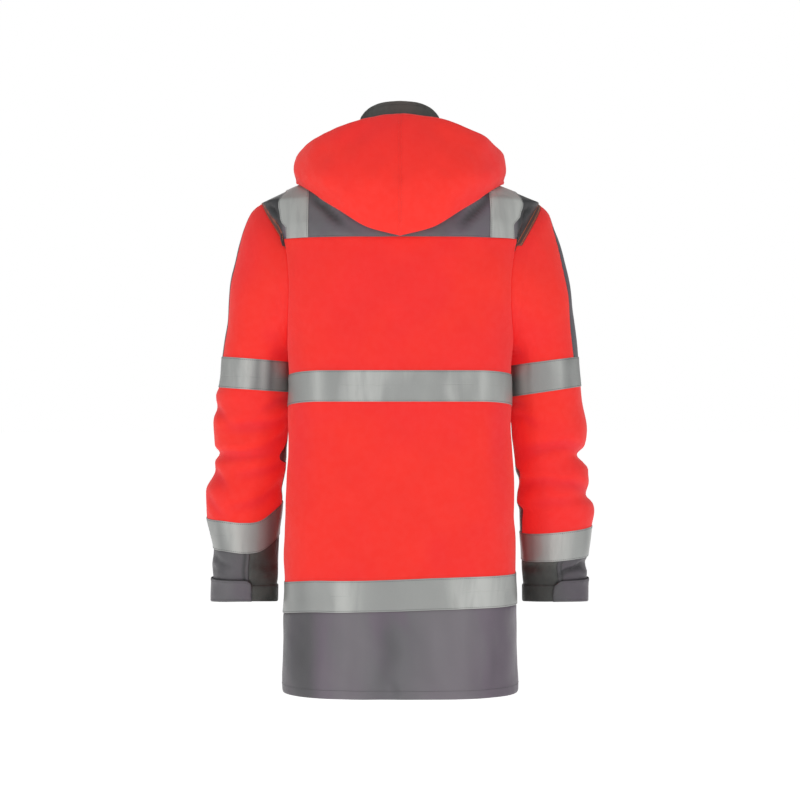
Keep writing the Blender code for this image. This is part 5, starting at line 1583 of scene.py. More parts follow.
def armhole_band(grid, edges):
    """The warm lines of the twin stitching beside an armhole, and the cloth between them."""
    far = edge_distances(grid, False)
    total = np.zeros(grid.shape[:2])
    for edge in edges.split():
        between_them = smooth_step((ARMHOLE_STITCHES[edge][1] + 0.0013 - far[edge]) / 0.0016)
        lines = seam_lines(grid, edge, *ARMHOLE_STITCHES[edge])
        total = np.maximum(total, np.maximum(lines, 0.16 * between_them))
    return total


def add_tape(node, part, edges, rests_on, glint, closed=False):
    """A reflective tape, sewn along two of its edges."""
    sizes, _, _ = settings()
    finish = Finish(edges, roll=0.00025, width=0.0012, pull=0.00022, pucker=0.00016, stitch_in=TAPE_STITCHES)
    sewn = cloth(node, part, "tape", sizes.tape, finish, GAP + sizes.tape, closed, rests_on, {"glint": glint})
    sew("grey_thread", sewn, edges, TAPE_STITCHES)


class JACKET_OT_body(bpy.types.Operator):
    """Make the back, fronts, yokes and hem panels"""

    bl_idname = "jacket.make_body"
    bl_label = "Body"

    def execute(self, context):
        sizes, _, _ = settings()
        made = pattern()
        top = (HEM_SEAM_ROW, SEAM_ROW)
        hem = (0, HEM_SEAM_ROW)
        for node in ("back", "front_left", "front_right"):
            fronts = node != "back"
            sewn = cloth(node, made.cut(node, top), "red", sizes.cloth,
                         turned("high start" if fronts else "high start end"), rests_on=["yoke_" + node],
                         fade={"crease": made.creases(node, top)})
            sew("red_thread", sewn, "high", SEAM_STITCHES)
            if fronts:
                sew("red_thread", sewn, "start", *FRONT_STITCHES)
            part = made.cut(node, hem)
            x, _, z = np.moveaxis(part[0], -1, 0)
            # Painted sheen on the hem's ridges, and painted shade towards the hem's sides, more on the wearer's
            # left.
            ridge = np.clip(glints(x + 0.006 * np.sin(38 * z), HEM_SHEEN_PATCHES), 0, 1)
            shade = 0.50 * smooth_step((x - 0.120) / 0.030) + 0.16 * smooth_step((-x - 0.135) / 0.030)
            sewn = cloth("hem_" + node, part, "grey", sizes.cloth, turned("low high start"), rests_on=[node],
                         fade={"crease": made.creases(node, hem) * 0.5, "ridge": ridge, "shade": shade})
            sew("grey_thread", sewn, "low", HEM_STITCHES)
            if fronts:
                sew("grey_thread", sewn, "start", *FRONT_STITCHES)
        for node in ("yoke_back", "yoke_front_left", "yoke_front_right"):
            part = made.cut(node)
            shade = np.broadcast_to(smooth_step((np.abs(part[2][1]) - 6.6) / 0.5), part[0].shape[:2])
            edges = "start end" if node == "yoke_back" else "end"
            fade = {"shade": shade, "crease": made.creases(node), "warm": armhole_band(part[0], edges)}
            sewn = cloth(node, part, "grey", sizes.cloth, turned("low high"), rests_on=["collar"], fade=fade)
            sew("grey_thread", sewn, "low", SEAM_STITCHES)
            for edge in edges.split():
                sew("orange_thread", sewn, edge, *ARMHOLE_STITCHES[edge])
            if node != "yoke_back":
                sew("grey_thread", sewn, "start", *FRONT_STITCHES)
        return {"FINISHED"}


class JACKET_OT_body_tapes(bpy.types.Operator):
    """Make the reflective tapes round the body and over the shoulders"""

    bl_idname = "jacket.make_body_tapes"
    bl_label = "Body Tapes"

    def execute(self, context):
        for band in ("chest_tape", "hem_tape"):
            for place in ("back", "front_left", "front_right"):
                node = f"{band}_{place}"
                part = pattern().cut(node)
                add_tape(node, part, "low high", [place], glints(part[0][..., 0], TAPE_GLINTS[band]))
        for side in SIDES:
            part = pattern().cut("strap_" + side)
            add_tape("shoulder_tape_" + side, part, "start end", ["yoke_back", "yoke_front_" + side],
                     np.full(part[0].shape[:2], STRAP_GLINT[side]))
        return {"FINISHED"}


class JACKET_OT_sleeves(bpy.types.Operator):
    """Make the sleeves, their strips and their reflective tapes"""

    bl_idname = "jacket.make_sleeves"
    bl_label = "Sleeves"

    def execute(self, context):
        sizes, _, _ = settings()
        made = pattern()
        upper = (0, UPPER_TAPE_ROWS[0] + 1)
        lower = (UPPER_TAPE_ROWS[0] + 1, CUFF_ROW)
        pieces = (
            ("sleeve_back", (0, CUFF_ROW), (0, ARMPIT_COLUMN), "red", "start end"),
            ("sleeve_front_upper", upper, (ARMPIT_COLUMN, TOP_STRIP_COLUMN), "red", "end"),
            ("sleeve_top_strip", upper, (TOP_STRIP_COLUMN, SLEEVE_COLUMNS), "grey", ""),
            ("sleeve_front_lower", lower, (INNER_STRIP_COLUMN, SLEEVE_COLUMNS), "red", "start"),
            ("sleeve_inner_strip", lower, (ARMPIT_COLUMN, INNER_STRIP_COLUMN), "grey", ""),
        )
        for side in SIDES:
            grid = "sleeve_" + side
            beside = "yoke_back"
            for name, rows, columns, colour, edges in pieces:
                part = made.cut(grid, rows, columns)
                fades = {"crease": made.creases(grid, rows, columns)}
                if colour == "grey":
                    fades["shade"] = np.full(part[0].shape[:2], STRIP_SHADE)
                node = f"{name}_{side}"
                sewn = cloth(node, part, colour, sizes.cloth, turned(edges), rests_on=[beside], fade=fades)
                sew(colour + "_thread", sewn, edges, SEAM_STITCHES)
                beside = node
            for level in ("upper", "lower"):
                part = made.cut(f"{level}_{side}")
                columns = np.broadcast_to(part[2][1], part[0].shape[:2])
                add_tape(f"sleeve_tape_{level}_{side}", part, "low high", ["sleeve_back_" + side],
                         glints(columns, TAPE_GLINTS[f"{level}_{side}"]), closed=True)
        return {"FINISHED"}


class JACKET_OT_cuffs(bpy.types.Operator):
    """Make the cuffs, their bands and their tabs"""

    bl_idname = "jacket.make_cuffs"
    bl_label = "Cuffs"

    def execute(self, context):
        sizes, _, _ = settings()
        made = pattern()
        rows = (CUFF_ROW, CUFF_END_ROW)
        back_seam, front_seam = CUFF_SEAM_COLUMN, SLEEVE_COLUMNS - CUFF_SEAM_COLUMN
        lift = GAP + sizes.band
        for side in SIDES:
            grid = "sleeve_" + side
            halves = [(*made.cut(grid, rows, columns)[:2], made.creases(grid, rows, columns))
                      for columns in ((front_seam, SLEEVE_COLUMNS), (0, back_seam))]
            face, normals, crease = (np.concatenate([one, two[:, 1:]], axis=1) for one, two in zip(*halves))
            # Painted shade along the cuff's two seams, over its darker grey.
            shade = CUFF_SHADE[side] + (1 - CUFF_SHADE[side]) * seam_lines(face, "start end", *CUFF_SEAM_LINES)
            sewn = cloth("cuff_outer_" + side, (face, normals), "grey", sizes.cloth, turned("start end"),
                         rests_on=["sleeve_back_" + side], fade={"shade": shade, "crease": crease})
            sew("grey_thread", sewn, "start end", *CUFF_STITCHES)
            cloth("cuff_inner_" + side, made.cut(grid, rows, (back_seam, front_seam)), "dark", sizes.cloth,
                  turned("start end"), rests_on=["sleeve_back_" + side])
            sewn = cloth("cuff_band_" + side, made.cut("band_" + side), "dark", sizes.band,
                         turned("low high", width=0.0022), lift, True, ["cuff_outer_" + side])
            sew("grey_thread", sewn, "low high", BAND_STITCHES)
            self.make_tab(side, lift + GAP + sizes.tab, sizes.tab)
        return {"FINISHED"}

    @staticmethod
    def make_tab(side, lift, thickness):
        """The tab that closes the cuff, with its upper back corner rounded."""
        face, normals, _ = pattern().cut("tab_" + side)
        down = lengths_along(face, 0)
        over = lengths_along(face, 1)
        height = down[-1:, :]
        radius = TAB_CORNER[side]
        sunk = np.clip((radius - (over[:, -1:] - over)[0]) / radius, 0, 1)
        lowered = (radius * (1 - np.sqrt(np.clip(1 - sunk ** 2, 0, 1))))[None, :]
        places = (lowered + down * (1 - lowered / height)) / height * height[0]
        shaped = np.empty_like(face)
        facing = np.empty_like(normals)
        for j in range(face.shape[1]):
            for axis in range(3):
                shaped[:, j, axis] = np.interp(places[:, j], down[:, j], face[:, j, axis])
                facing[:, j, axis] = np.interp(places[:, j], down[:, j], normals[:, j, axis])
        finish = turned("low high start end", roll=0.0010, width=0.0028, stitch_in=TAB_STITCHES, pull=0.00035)
        # Painted shadow along three of the tab's edges, over its darker grey.
        shade = np.maximum(TAB_SHADE[side], seam_lines(shaped, "low high end", 0.0))
        sewn = cloth("cuff_tab_" + side, (shaped, unit(facing)), "grey", thickness, finish, lift,
                     rests_on=["cuff_band_" + side], fade={"shade": shade})
        sew("grey_thread", sewn, finish.stitched, TAB_STITCHES, ends=TAB_STITCHES)


# ---------------------------------------------------------------- collar and hood

def neck_point(angle):
    """Point of the neck seam, from the middle of the back (0) to the middle of the front (pi)."""
    x = NECK_WIDTH * np.sin(angle)
    back = angle <= 0.5 * math.pi
    z = np.where(back, shoulder_top_z(x, "back"), shoulder_top_z(x, "front"))
    y = np.where(back, surface_y(x, z, "back"), surface_y(x, z, "front"))
    return np.stack([x, y, z], axis=-1)


COLLAR_LENGTH = 0.085
COLLAR_SPACING = 0.0036
COLLAR_STITCHES = 0.0060


class JACKET_OT_collar(bpy.types.Operator):
    """Make the stand collar"""

    bl_idname = "jacket.make_collar"
    bl_label = "Collar"

    def execute(self, context):
        sizes, _, _ = settings()
        form = curves(COLLAR_TOP)
        degrees = np.linspace(-180 + COLLAR_SPLIT, 180 - COLLAR_SPLIT, 181)
        size = np.abs(np.radians(degrees))
        base = neck_point(size)
        base[:, 0] *= np.where(degrees < 0, -1.0, 1.0)
        base[:, 2] += COLLAR_RISE
        reach = form["reach"](np.abs(degrees))
        facing = np.radians(degrees)
        top = np.stack([reach * np.sin(facing), reach * np.cos(facing), form["z"](np.abs(degrees))], axis=-1)
        rise = divided(0, (COLLAR_LENGTH,), COLLAR_SPACING, (0, 1))[:, None, None]
        outer = base + (top - base) * rise
        outwards = unit(outer * np.array([1.0, 1.0, 0.0]))
        run = lengths_along(outer, 1)
        ripple = 0.0005 * np.sin(run * 74 + 1.0) + 0.0004 * np.sin(run * 41 + 7 * rise[..., 0])
        swell = (COLLAR_SWELL + ripple) * np.sin(np.pi * np.clip(rise[..., 0], 0, 1))
        face = outer + outwards * swell[..., None]
        # Painted highlight: the collar is painted paler at the middle of its back.
        pale = np.broadcast_to(0.9 * np.exp(-((degrees + 4) / 26) ** 2), face.shape[:2])
        finish = turned("high start end", roll=0.0011, width=0.0030, stitch_in=COLLAR_STITCHES)
        sewn = cloth("collar", (face, outwards), "dark", sizes.collar, finish, fade={"pale": pale},
                     rests_on=["yoke_back", "yoke_front_left", "yoke_front_right"])
        sew("grey_thread", sewn, finish.stitched, COLLAR_STITCHES)
        return {"FINISHED"}


def clear_of_yoke(points):
    """Pushes points out of the yoke, by the hood's clearance, in each plane of constant x."""
    pushed = points.reshape(-1, 3).copy()
    spacing = np.linspace(0, 1, 160) ** 2
    for half in HALVES:
        chosen = np.nonzero((pushed[:, 1] >= 0) == (half == "back"))[0]
        x = np.clip(np.abs(pushed[chosen, 0]), NECK_WIDTH, SHOULDER_X - 1e-4)[:, None]
        top = shoulder_top_z(x, half)
        heights = top - (top - YOKE_TIP_Z) * spacing
        line = np.stack([np.abs(surface_y(x, heights, half)), heights], axis=-1)
        spot = np.stack([np.abs(pushed[chosen, 1]), pushed[chosen, 2]], axis=-1)
        offset = spot[:, None] - line
        nearest = np.argmin(np.linalg.norm(offset, axis=-1), axis=1)
        along = np.gradient(line, axis=1)[np.arange(len(chosen)), nearest]
        outwards = unit(np.stack([-along[:, 1], along[:, 0]], axis=-1))
        short = HOOD_CLEARANCE - np.sum(offset[np.arange(len(chosen)), nearest] * outwards, axis=1)
        short = np.maximum(short, 0)
        pushed[chosen, 1] += outwards[:, 0] * short * FACING[half]
        pushed[chosen, 2] += outwards[:, 1] * short
    return pushed.reshape(points.shape)


def hood_grid(side, rows, columns):
    """Left-hand half of the hood, a profile from the neck seam to the turned-in rim at each column."""
    form = curves(HOOD)
    found = []
    for column in columns:
        degrees = column * (180 - COLLAR_SPLIT) / COLLAR_COLUMNS
        facing = math.radians(degrees)
        seam = neck_point(np.array(facing))
        value = {name: float(at(degrees)) for name, at in form.items()}
        value["rim_z"] -= HOOD_RIM_SAG[side] * math.sin(2 * facing) ** 2
        turn = min(RIM_TURN, 0.4 * value["rim_out"])
        bend = min(FOLD_BEND, 0.3 * value["fold_out"])
        route = (
            ("t", "out", "z"),
            (0.00, HOOD_SEAM_OUT, seam[2] + HOOD_SEAM_RISE),
            (0.18, 0.5 * value["fold_out"],
             0.5 * (seam[2] + value["fold_z"]) + HOOD_BULGE * math.cos(facing / 2)),
            (0.36, value["fold_out"] - bend, value["fold_z"] + bend),
            (0.42, value["fold_out"], value["fold_z"]),
            (0.48, value["fold_out"] + bend, value["fold_z"] + bend),
            (0.70, value["belly_out"], value["belly_z"]),
            (0.93, value["rim_out"], value["rim_z"]),
            (1.00, value["rim_out"] - turn, value["rim_z"] - 0.3 * turn),
        )
        t = rows / HOOD_ROWS
        out = curve(route, "t", "out")(t)
        height = curve(route, "t", "z")(t)
        x = (seam[0] + out * math.sin(facing)) * (1 + (HOOD_REACH[side] - 1) * smooth_step(out / 0.05))
        found.append(np.stack([x, seam[1] + out * math.cos(facing), height], axis=-1))
    return np.array(found).transpose(1, 0, 2)


HOOD_ROW_LENGTHS = 10 * (0.033,)
HOOD_COLUMN_LENGTHS = 11 * (0.034,)
# Folds of the hood: which sides, the line as columns and rows, depth, width and lean.
HOOD_FOLDS = (
    (("left", "right"), ((0.6, 9.0), (2.2, 8.1), (4.2, 7.0)), 0.0016, 0.016, 0.3),
    (("left",), ((1.2, 4.9), (2.6, 5.6), (4.4, 6.4)), 0.0018, 0.014, 0.4),
    (("right",), ((1.0, 5.2), (2.8, 6.0), (4.6, 6.3)), 0.0016, 0.015, -0.4),
    (("left", "right"), ((5.0, 5.0), (6.0, 6.0), (6.6, 7.4)), 0.0022, 0.013, 0.4),
    (("left", "right"), ((7.0, 5.6), (8.2, 6.0), (9.4, 6.2)), 0.0020, 0.010, 0.5),
)
HOOD_SPACING = 0.0044
# The hood's broad waves, as multiples of the body's: how much finer and how high.
HOOD_WAVES = {"finer": 1.7, "height": 0.9}
HOOD_STITCHES = 0.0200


class JACKET_OT_hood(bpy.types.Operator):
    """Make the two halves of the hood"""

    bl_idname = "jacket.make_hood"
    bl_label = "Hood"

    def execute(self, context):
        sizes, _, _ = settings()
        rows = divided(0, HOOD_ROW_LENGTHS, HOOD_SPACING, (0, 10))
        columns = divided(0, HOOD_COLUMN_LENGTHS, HOOD_SPACING, (0, 11))
        skin = Skin()
        for side in SIDES:
            grid = front_side(clear_of_yoke(hood_grid(side, rows, columns)), side)
            skin.add("hood_" + side, "hood", grid, INSIDE_HOOD)
        for side in SIDES:
            node = "hood_" + side
            grid, _ = skin.grids[node]
            normals = skin.normals(node)
            height = waves(grid * HOOD_WAVES["finer"]) * HOOD_WAVES["height"]
            for sides, line, depth, width, lean in HOOD_FOLDS:
                if side in sides:
                    spots = [(np.argmin(np.abs(rows - row)), np.argmin(np.abs(columns - column)))
                             for column, row in line]
                    points, away = (np.stack([values[spot] for spot in spots]) for values in (grid, normals))
                    fold = fold_height(grid.reshape(-1, 3), points, unit(away.mean(axis=0)), depth, width, lean)
                    height += fold.reshape(height.shape)
            under = smooth_step((rows - 4.4) / 0.8)[:, None]
            face = grid + normals * (height * under)[..., None]
            finish = turned("high start", roll=0.0001, width=0.0014, stitch_in=0.0024, pull=0.0001,
                            pucker=0.0006)
            sewn = cloth(node, (face, normals), "red", sizes.hood, finish, rests_on=["yoke_back", "collar"])
            sew("red_thread", sewn, "start", finish.stitch_in)
            sew("red_thread", sewn, "high", HOOD_STITCHES)
        return {"FINISHED"}


# ---------------------------------------------------------------- what repeats along a line

def repeat_tree():
    """Geometry nodes that set a shape along lines: X along the line, Z the way the line's points face."""
    tree = bpy.data.node_groups.new("repeat_along_lines", "GeometryNodeTree")
    for name, kind in (("Lines", "Geometry"), ("Shape", "Object"), ("Pitch", "Float"), ("Wander", "Float"),
                       ("Seed", "Int"), ("Finish", "Material")):
        socket = tree.interface.new_socket(name, in_out="INPUT", socket_type="NodeSocket" + kind)
        if name == "Pitch":
            socket.subtype = "DISTANCE"
    tree.interface.new_socket("Pieces", in_out="OUTPUT", socket_type="NodeSocketGeometry")

    def node(kind, **options):
        made = tree.nodes.new(kind)
        for option, value in options.items():
            setattr(made, option, value)
        return made

    given = node("NodeGroupInput")
    result = node("NodeGroupOutput")
    to_curve = node("GeometryNodeMeshToCurve")
    resample = node("GeometryNodeResampleCurve")
    if hasattr(resample, "mode"):
        resample.mode = "LENGTH"
    else:
        resample.inputs["Mode"].default_value = "Length"
    facing = node("GeometryNodeInputNamedAttribute", data_type="FLOAT_VECTOR")
    facing.inputs["Name"].default_value = "facing"
    tangent = node("GeometryNodeInputTangent")
    turn = node("FunctionNodeAxesToRotation", primary_axis="X", secondary_axis="Z")
    wander = node("FunctionNodeRandomValue", data_type="FLOAT_VECTOR")
    high = node("ShaderNodeVectorMath", operation="SCALE")
    high.inputs[0].default_value = (1.0, 1.0, 1.0)
    low = node("ShaderNodeVectorMath", operation="SCALE")
    low.inputs[0].default_value = (-1.0, -1.0, -1.0)
    shape = node("GeometryNodeObjectInfo")
    move = node("GeometryNodeSetPosition")
    instance = node("GeometryNodeInstanceOnPoints")
    realize = node("GeometryNodeRealizeInstances")
    finish = node("GeometryNodeSetMaterial")
    for source, out, target, into in (
            (given, "Lines", to_curve, 0), (to_curve, 0, resample, "Curve"),
            (given, "Pitch", resample, "Length"), (tangent, 0, turn, 0), (facing, 0, turn, 1),
            (given, "Wander", high, "Scale"), (given, "Wander", low, "Scale"), (low, 0, wander, "Min"),
            (high, 0, wander, "Max"), (given, "Seed", wander, "Seed"), (resample, 0, move, "Geometry"),
            (wander, 0, move, "Offset"), (given, "Shape", shape, 0), (move, 0, instance, "Points"),
            (shape, "Geometry", instance, "Instance"), (turn, 0, instance, "Rotation"),
            (instance, 0, realize, 0), (realize, 0, finish, "Geometry"),
            (given, "Finish", finish, "Material"), (finish, 0, result, "Pieces")):
        tree.links.new(source.outputs[out], target.inputs[into])
    return tree


def along_lines(name, lines, shape, pitch, finish, wander=0.0, seed=7):
    """A plain mesh object of a shape repeated along lines of points and the way they face."""
    tree = bpy.data.node_groups.get("repeat_along_lines") or repeat_tree()
    points = np.concatenate([line for line, _ in lines])
    facing = np.concatenate([way for _, way in lines])
    edges = []
    start = 0
    for line, _ in lines:
        edges += [(start + i, start + i + 1) for i in range(len(line) - 1)]
        start += len(line)
    mesh = bpy.data.meshes.new(name + "_lines")
    mesh.from_pydata(points.tolist(), edges, [])
    mesh.attributes.new("facing", "FLOAT_VECTOR", "POINT").data.foreach_set(
        "vector", facing.ravel().astype(np.float32))
    carrier = link(name + "_lines", mesh, [])
    modifier = carrier.modifiers.new("repeat", "NODES")
    modifier.node_group = tree
    given = {"Shape": shape, "Pitch": pitch, "Wander": wander, "Seed": seed, "Finish": finish}
    for item in tree.interface.items_tree:
        if item.item_type == "SOCKET" and item.in_out == "INPUT" and item.name in given:
            modifier[item.identifier] = given[item.name]
    bpy.context.view_layer.update()
    evaluated = carrier.evaluated_get(bpy.context.evaluated_depsgraph_get())
    made = bpy.data.meshes.new_from_object(evaluated)
    made.name = name
    bpy.data.objects.remove(carrier, do_unlink=True)
    if len(made.polygons) == 0:
        raise RuntimeError(name + " came out empty")
    piece = link(name, made, [] if len(made.materials) else [finish])
    made.shade_smooth()
    made.set_sharp_from_angle(angle=CLOTH_SHARP)
    return piece


def rounded_block(bm, low, high, radius, segments):
    """Adds a box with rounded edges to a mesh."""
    low, high = Vector(low), Vector(high)
    place = Matrix.Translation((low + high) / 2) @ Matrix.Diagonal((*(high - low), 1.0))
    made = bmesh.ops.create_cube(bm, size=1.0, matrix=place)
    edges = list(dict.fromkeys(edge for vert in made["verts"] for edge in vert.link_edges))
    bmesh.ops.bevel(bm, geom=edges, offset=radius, segments=segments, affect="EDGES", profile=0.5)


def across_middle(bm, half, y, z, radius, segments=2):
    """Adds a rounded box that reaches as far to the left of x = 0 as to the right."""
    rounded_block(bm, (-half, y[0], z[0]), (half, y[1], z[1]), radius, segments)


def mesh_of(bm, name, materials):
    bmesh.ops.recalc_face_normals(bm, faces=bm.faces[:])
    mesh = bpy.data.meshes.new(name)
    bm.to_mesh(mesh)
    bm.free()
    mesh.shade_smooth()
    mesh.set_sharp_from_angle(angle=METAL_SHARP)
    return link(name, mesh, materials)


THREADS = {"red_thread": "red_cloth", "grey_thread": "grey_cloth", "orange_thread": "grey_cloth"}
STITCH_RISE = 0.00012
STITCH_WANDER = 0.00006


class JACKET_OT_stitches(bpy.types.Operator):
    """Sew the stitches noted along the seams and edges"""

    bl_idname = "jacket.sew_stitches"
    bl_label = "Stitches"

    def execute(self, context):
        sizes, _, _ = settings()
        bm = bmesh.new()
        shape = Matrix.Rotation(math.radians(90), 4, "Y") @ Matrix.Diagonal(
            (sizes.thread, sizes.thread, sizes.stitch_length, 1.0))
        bmesh.ops.create_uvsphere(bm, u_segments=5, v_segments=3, radius=0.5, matrix=shape)
        stitch = mesh_of(bm, "one_stitch", [])
        for seed, (thread, slot) in enumerate(THREADS.items()):
            lines = [(points + facing * STITCH_RISE, facing) for points, facing in _made["stitches"][thread]
                     if len(points) > 2]
            piece = along_lines(thread + "_stitches", lines, stitch, sizes.stitch_pitch, finish_of(thread),
                                STITCH_WANDER, seed)
            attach(piece, "jacket")
        bpy.data.objects.remove(stitch, do_unlink=True)
        return {"FINISHED"}


# ---------------------------------------------------------------- zip

def front_y(x, z):
    """Outer face of the fronts and of the collar's front, near the middle."""
    collar = -COLLAR_TOP[-1][2] * np.sqrt(1 - (x / NECK_WIDTH) ** 2)
    return np.where(z < -FRONT_NECK_DROP, surface_y(x, np.minimum(z, -FRONT_NECK_DROP), "front"), collar)


TOOTH = {"reach": 0.0033, "along": 0.0017, "deep": 0.0028, "head": 0.0021, "head_long": 0.0014,
         "round": 0.00028}
ZIP_ROWS = 190
ZIP_TAPE_COLUMNS = 9
ZIP_SAMPLES = 500
ZIP_SMOOTHING = 4        # samples either side that the face's depth is averaged over


def zip_line(x, depth, heights):
    """A line down the zip at a distance behind the face, bending smoothly at the neck seam."""
    y = np.interp(heights, *zip_depths(x))
    points = np.stack([np.full(len(heights), x), y + depth, heights], axis=-1)
    tilt = np.gradient(y, heights)
    facing = unit(np.stack([np.zeros(len(heights)), -np.ones(len(heights)), tilt], axis=-1))
    return points, facing


def zip_depths(x):
    """Heights and depths of the front face along the zip, smoothed across the neck seam."""
    heights = np.linspace(LEVELS[1][1] + 0.0005, ZIP_TOP_Z, ZIP_SAMPLES)
    depth = front_y(abs(x), heights)
    count = 2 * ZIP_SMOOTHING + 1
    smooth = np.convolve(np.pad(depth, ZIP_SMOOTHING, mode="edge"), np.ones(count) / count, mode="valid")
    return heights, smooth


class JACKET_OT_zip(bpy.types.Operator):
    """Make the zip's tapes and teeth"""

    bl_idname = "jacket.make_zip"
    bl_label = "Zip"

    def execute(self, context):
        sizes, _, _ = settings()
        low = LEVELS[1][1] + 0.001
        heights = np.linspace(low, ZIP_TOP_Z, ZIP_ROWS)
        edge = ZIP_CHAIN_WIDTH / 2 + GAP
        for side in SIDES:
            places = SIGN[side] * (edge + ZIP_TAPE_WIDTH * np.linspace(0, 1, ZIP_TAPE_COLUMNS))
            lines = [zip_line(x, ZIP_BEHIND, heights) for x in places]
            face = np.stack([points for points, _ in lines], axis=1)
            normals = np.stack([facing for _, facing in lines], axis=1)
            finish = Finish("end", roll=0.0003, width=0.0012, pull=0.0001, pucker=0.0)
            cloth("zip_tape_" + side, (face, normals), "dark", ZIP_TAPE, finish, rests_on=["front_" + side],
                  slot="grey_cloth")
        bm = bmesh.new()
        half = TOOTH["along"] / 2
        deep = TOOTH["deep"] / 2
        tip = TOOTH["reach"]
        across_middle(bm, half, (0.0, tip - TOOTH["along"] / 2), (-deep, deep), TOOTH["round"], 1)
        across_middle(bm, TOOTH["head"] / 2, (tip - TOOTH["head_long"], tip), (-deep * 0.8, deep * 0.8),
                      TOOTH["round"], 1)
        tooth = mesh_of(bm, "one_tooth", [])
        middle = ZIP_BEHIND - (CHAIN_DEPTH - ZIP_TAPE) / 2
        up = zip_line(ZIP_CHAIN_WIDTH / 2, middle, heights)
        down = zip_line(-ZIP_CHAIN_WIDTH / 2, middle, heights)
        start = int(np.searchsorted(heights, low + sizes.tooth_pitch / 2))
        lines = [up, (down[0][:start:-1], down[1][:start:-1])]
        teeth = along_lines("zip_teeth", lines, tooth, sizes.tooth_pitch, finish_of("moulding"))
        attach(teeth, "jacket")
        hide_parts("zip_chain")
        bpy.data.objects.remove(tooth, do_unlink=True)
        return {"FINISHED"}


def ring_about_x(bm, centre, outer, inner, width, ease, segments):
    """Adds a bored cylinder along X, with its rims eased."""
    half = width / 2
    outline = [(-half, inner + ease / 2), (-half, outer - ease), (-half + ease, outer), (half - ease, outer),
               (half, outer - ease), (half, inner + ease / 2), (half - ease, inner), (-half + ease, inner)]
    rings = []
    for k in range(segments):
        angle = 2 * math.pi * k / segments
        y, z = math.cos(angle), math.sin(angle)
        rings.append([bm.verts.new((centre[0] + x, centre[1] + r * y, centre[2] + r * z)) for x, r in outline])
    for k in range(segments):
        ring, following = rings[k], rings[(k + 1) % segments]
        for i in range(len(outline)):
            j = (i + 1) % len(outline)
            bm.faces.new((ring[i], ring[j], following[j], following[i]))


# How far the edges of the metal parts are rounded.
EASE = {"plate": 0.0005, "neck": 0.0003, "ear": 0.0004, "lip": 0.0002, "shank": 0.0003, "blade": 0.00055,
        "rib": 0.00025}
# The lip low on the slider's front plate: its share of the plate's width, and its heights above the foot.
LIP = {"share": 0.55, "proud": 0.0003, "low": 0.0008, "high": 0.0042}
# The ribs to grip on the pull tab.
GRIP = {"count": 5, "start": 0.0042, "step": 0.0021, "tall": 0.0009, "inset": 0.0010, "proud": 0.0003}


class JACKET_OT_slider(bpy.types.Operator):
    """Make the zip's slider and the pull tab on its pin"""

    bl_idname = "jacket.make_slider"
    bl_label = "Slider and Pull"

    def execute(self, context):
        half = SLIDER["width"] / 2
        plate = SLIDER["plate"]
        collar_y = -COLLAR_TOP[-1][2]
        front = collar_y + ZIP_BEHIND - CHAIN_DEPTH - SLIDER["play"] - plate
        back = collar_y + ZIP_BEHIND + ZIP_TAPE + SLIDER["play"] + plate
        high = SLIDER_TOP_Z
        low = high - SLIDER["height"]
        bm = bmesh.new()
        for y in ((front, front + plate), (back - plate, back)):
            across_middle(bm, half, y, (low, high), EASE["plate"], 3)
        across_middle(bm, SLIDER_NECK["width"] / 2, (front + plate / 2, back - plate / 2),
                      (high - SLIDER_NECK["bottom"], high - SLIDER_NECK["top"]), EASE["neck"])
        pin_z = high - PIN["down"]
        pin_y = front - PIN["standoff"]
        for sign in (1, -1):
            near = sign * EAR["inside"]
            far = sign * (EAR["inside"] + EAR["thickness"])
            rounded_block(bm, (min(near, far), pin_y - EAR["beyond_pin"], pin_z - EAR["half_height"]),
                          (max(near, far), front + plate / 2, pin_z + EAR["half_height"]), EASE["ear"], 3)
        place = Matrix.Translation((0, pin_y, pin_z)) @ Matrix.Rotation(math.radians(90), 4, "Y")
        bmesh.ops.create_cone(bm, cap_ends=True, segments=24, radius1=PIN["radius"], radius2=PIN["radius"],
                              depth=2 * (EAR["inside"] + EAR["thickness"]) + 0.0003, matrix=place)
        across_middle(bm, half * LIP["share"], (front - LIP["proud"], front + plate / 2),
                      (low + LIP["low"], low + LIP["high"]), EASE["lip"])
        slider = mesh_of(bm, "zip_slider_metal", [finish_of("metal")])
        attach(slider, "jacket")
        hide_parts("zip_slider")

        bm = bmesh.new()
        eye_width = 2 * (EAR["inside"] - PULL["play"])
        tab = PULL["thickness"] / 2
        wide = PULL["width"] / 2
        ring_about_x(bm, (0, pin_y, pin_z), PULL["eye"], PULL["hole"], eye_width, EASE["rib"], 28)
        deep = (pin_y - tab, pin_y + tab)
        across_middle(bm, eye_width / 2 - 0.0002, deep,
                      (pin_z - PULL["shank_bottom"], pin_z - PULL["shank_top"] - 0.0004), EASE["shank"])
        across_middle(bm, wide, deep, (pin_z - PULL["length"], pin_z - PULL["blade_top"]), EASE["blade"], 3)
        for k in range(GRIP["count"]):
            z = pin_z - PULL["length"] + GRIP["start"] + GRIP["step"] * k
            across_middle(bm, wide - GRIP["inset"], (pin_y - tab - GRIP["proud"], pin_y + tab + GRIP["proud"]),
                          (z, z + GRIP["tall"]), EASE["rib"])
        pull = mesh_of(bm, "zip_pull_tab", [finish_of("metal")])
        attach(pull, "pull_tab")
        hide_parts("zip_pull")
        return {"FINISHED"}


# ---------------------------------------------------------------- stage

LOOK_AT = (0.0, 0.0, -0.42)
SENSOR_WIDTH = 36.0
FLOOR_RADIUS = 60.0
FLOOR_GLOW = 0.66


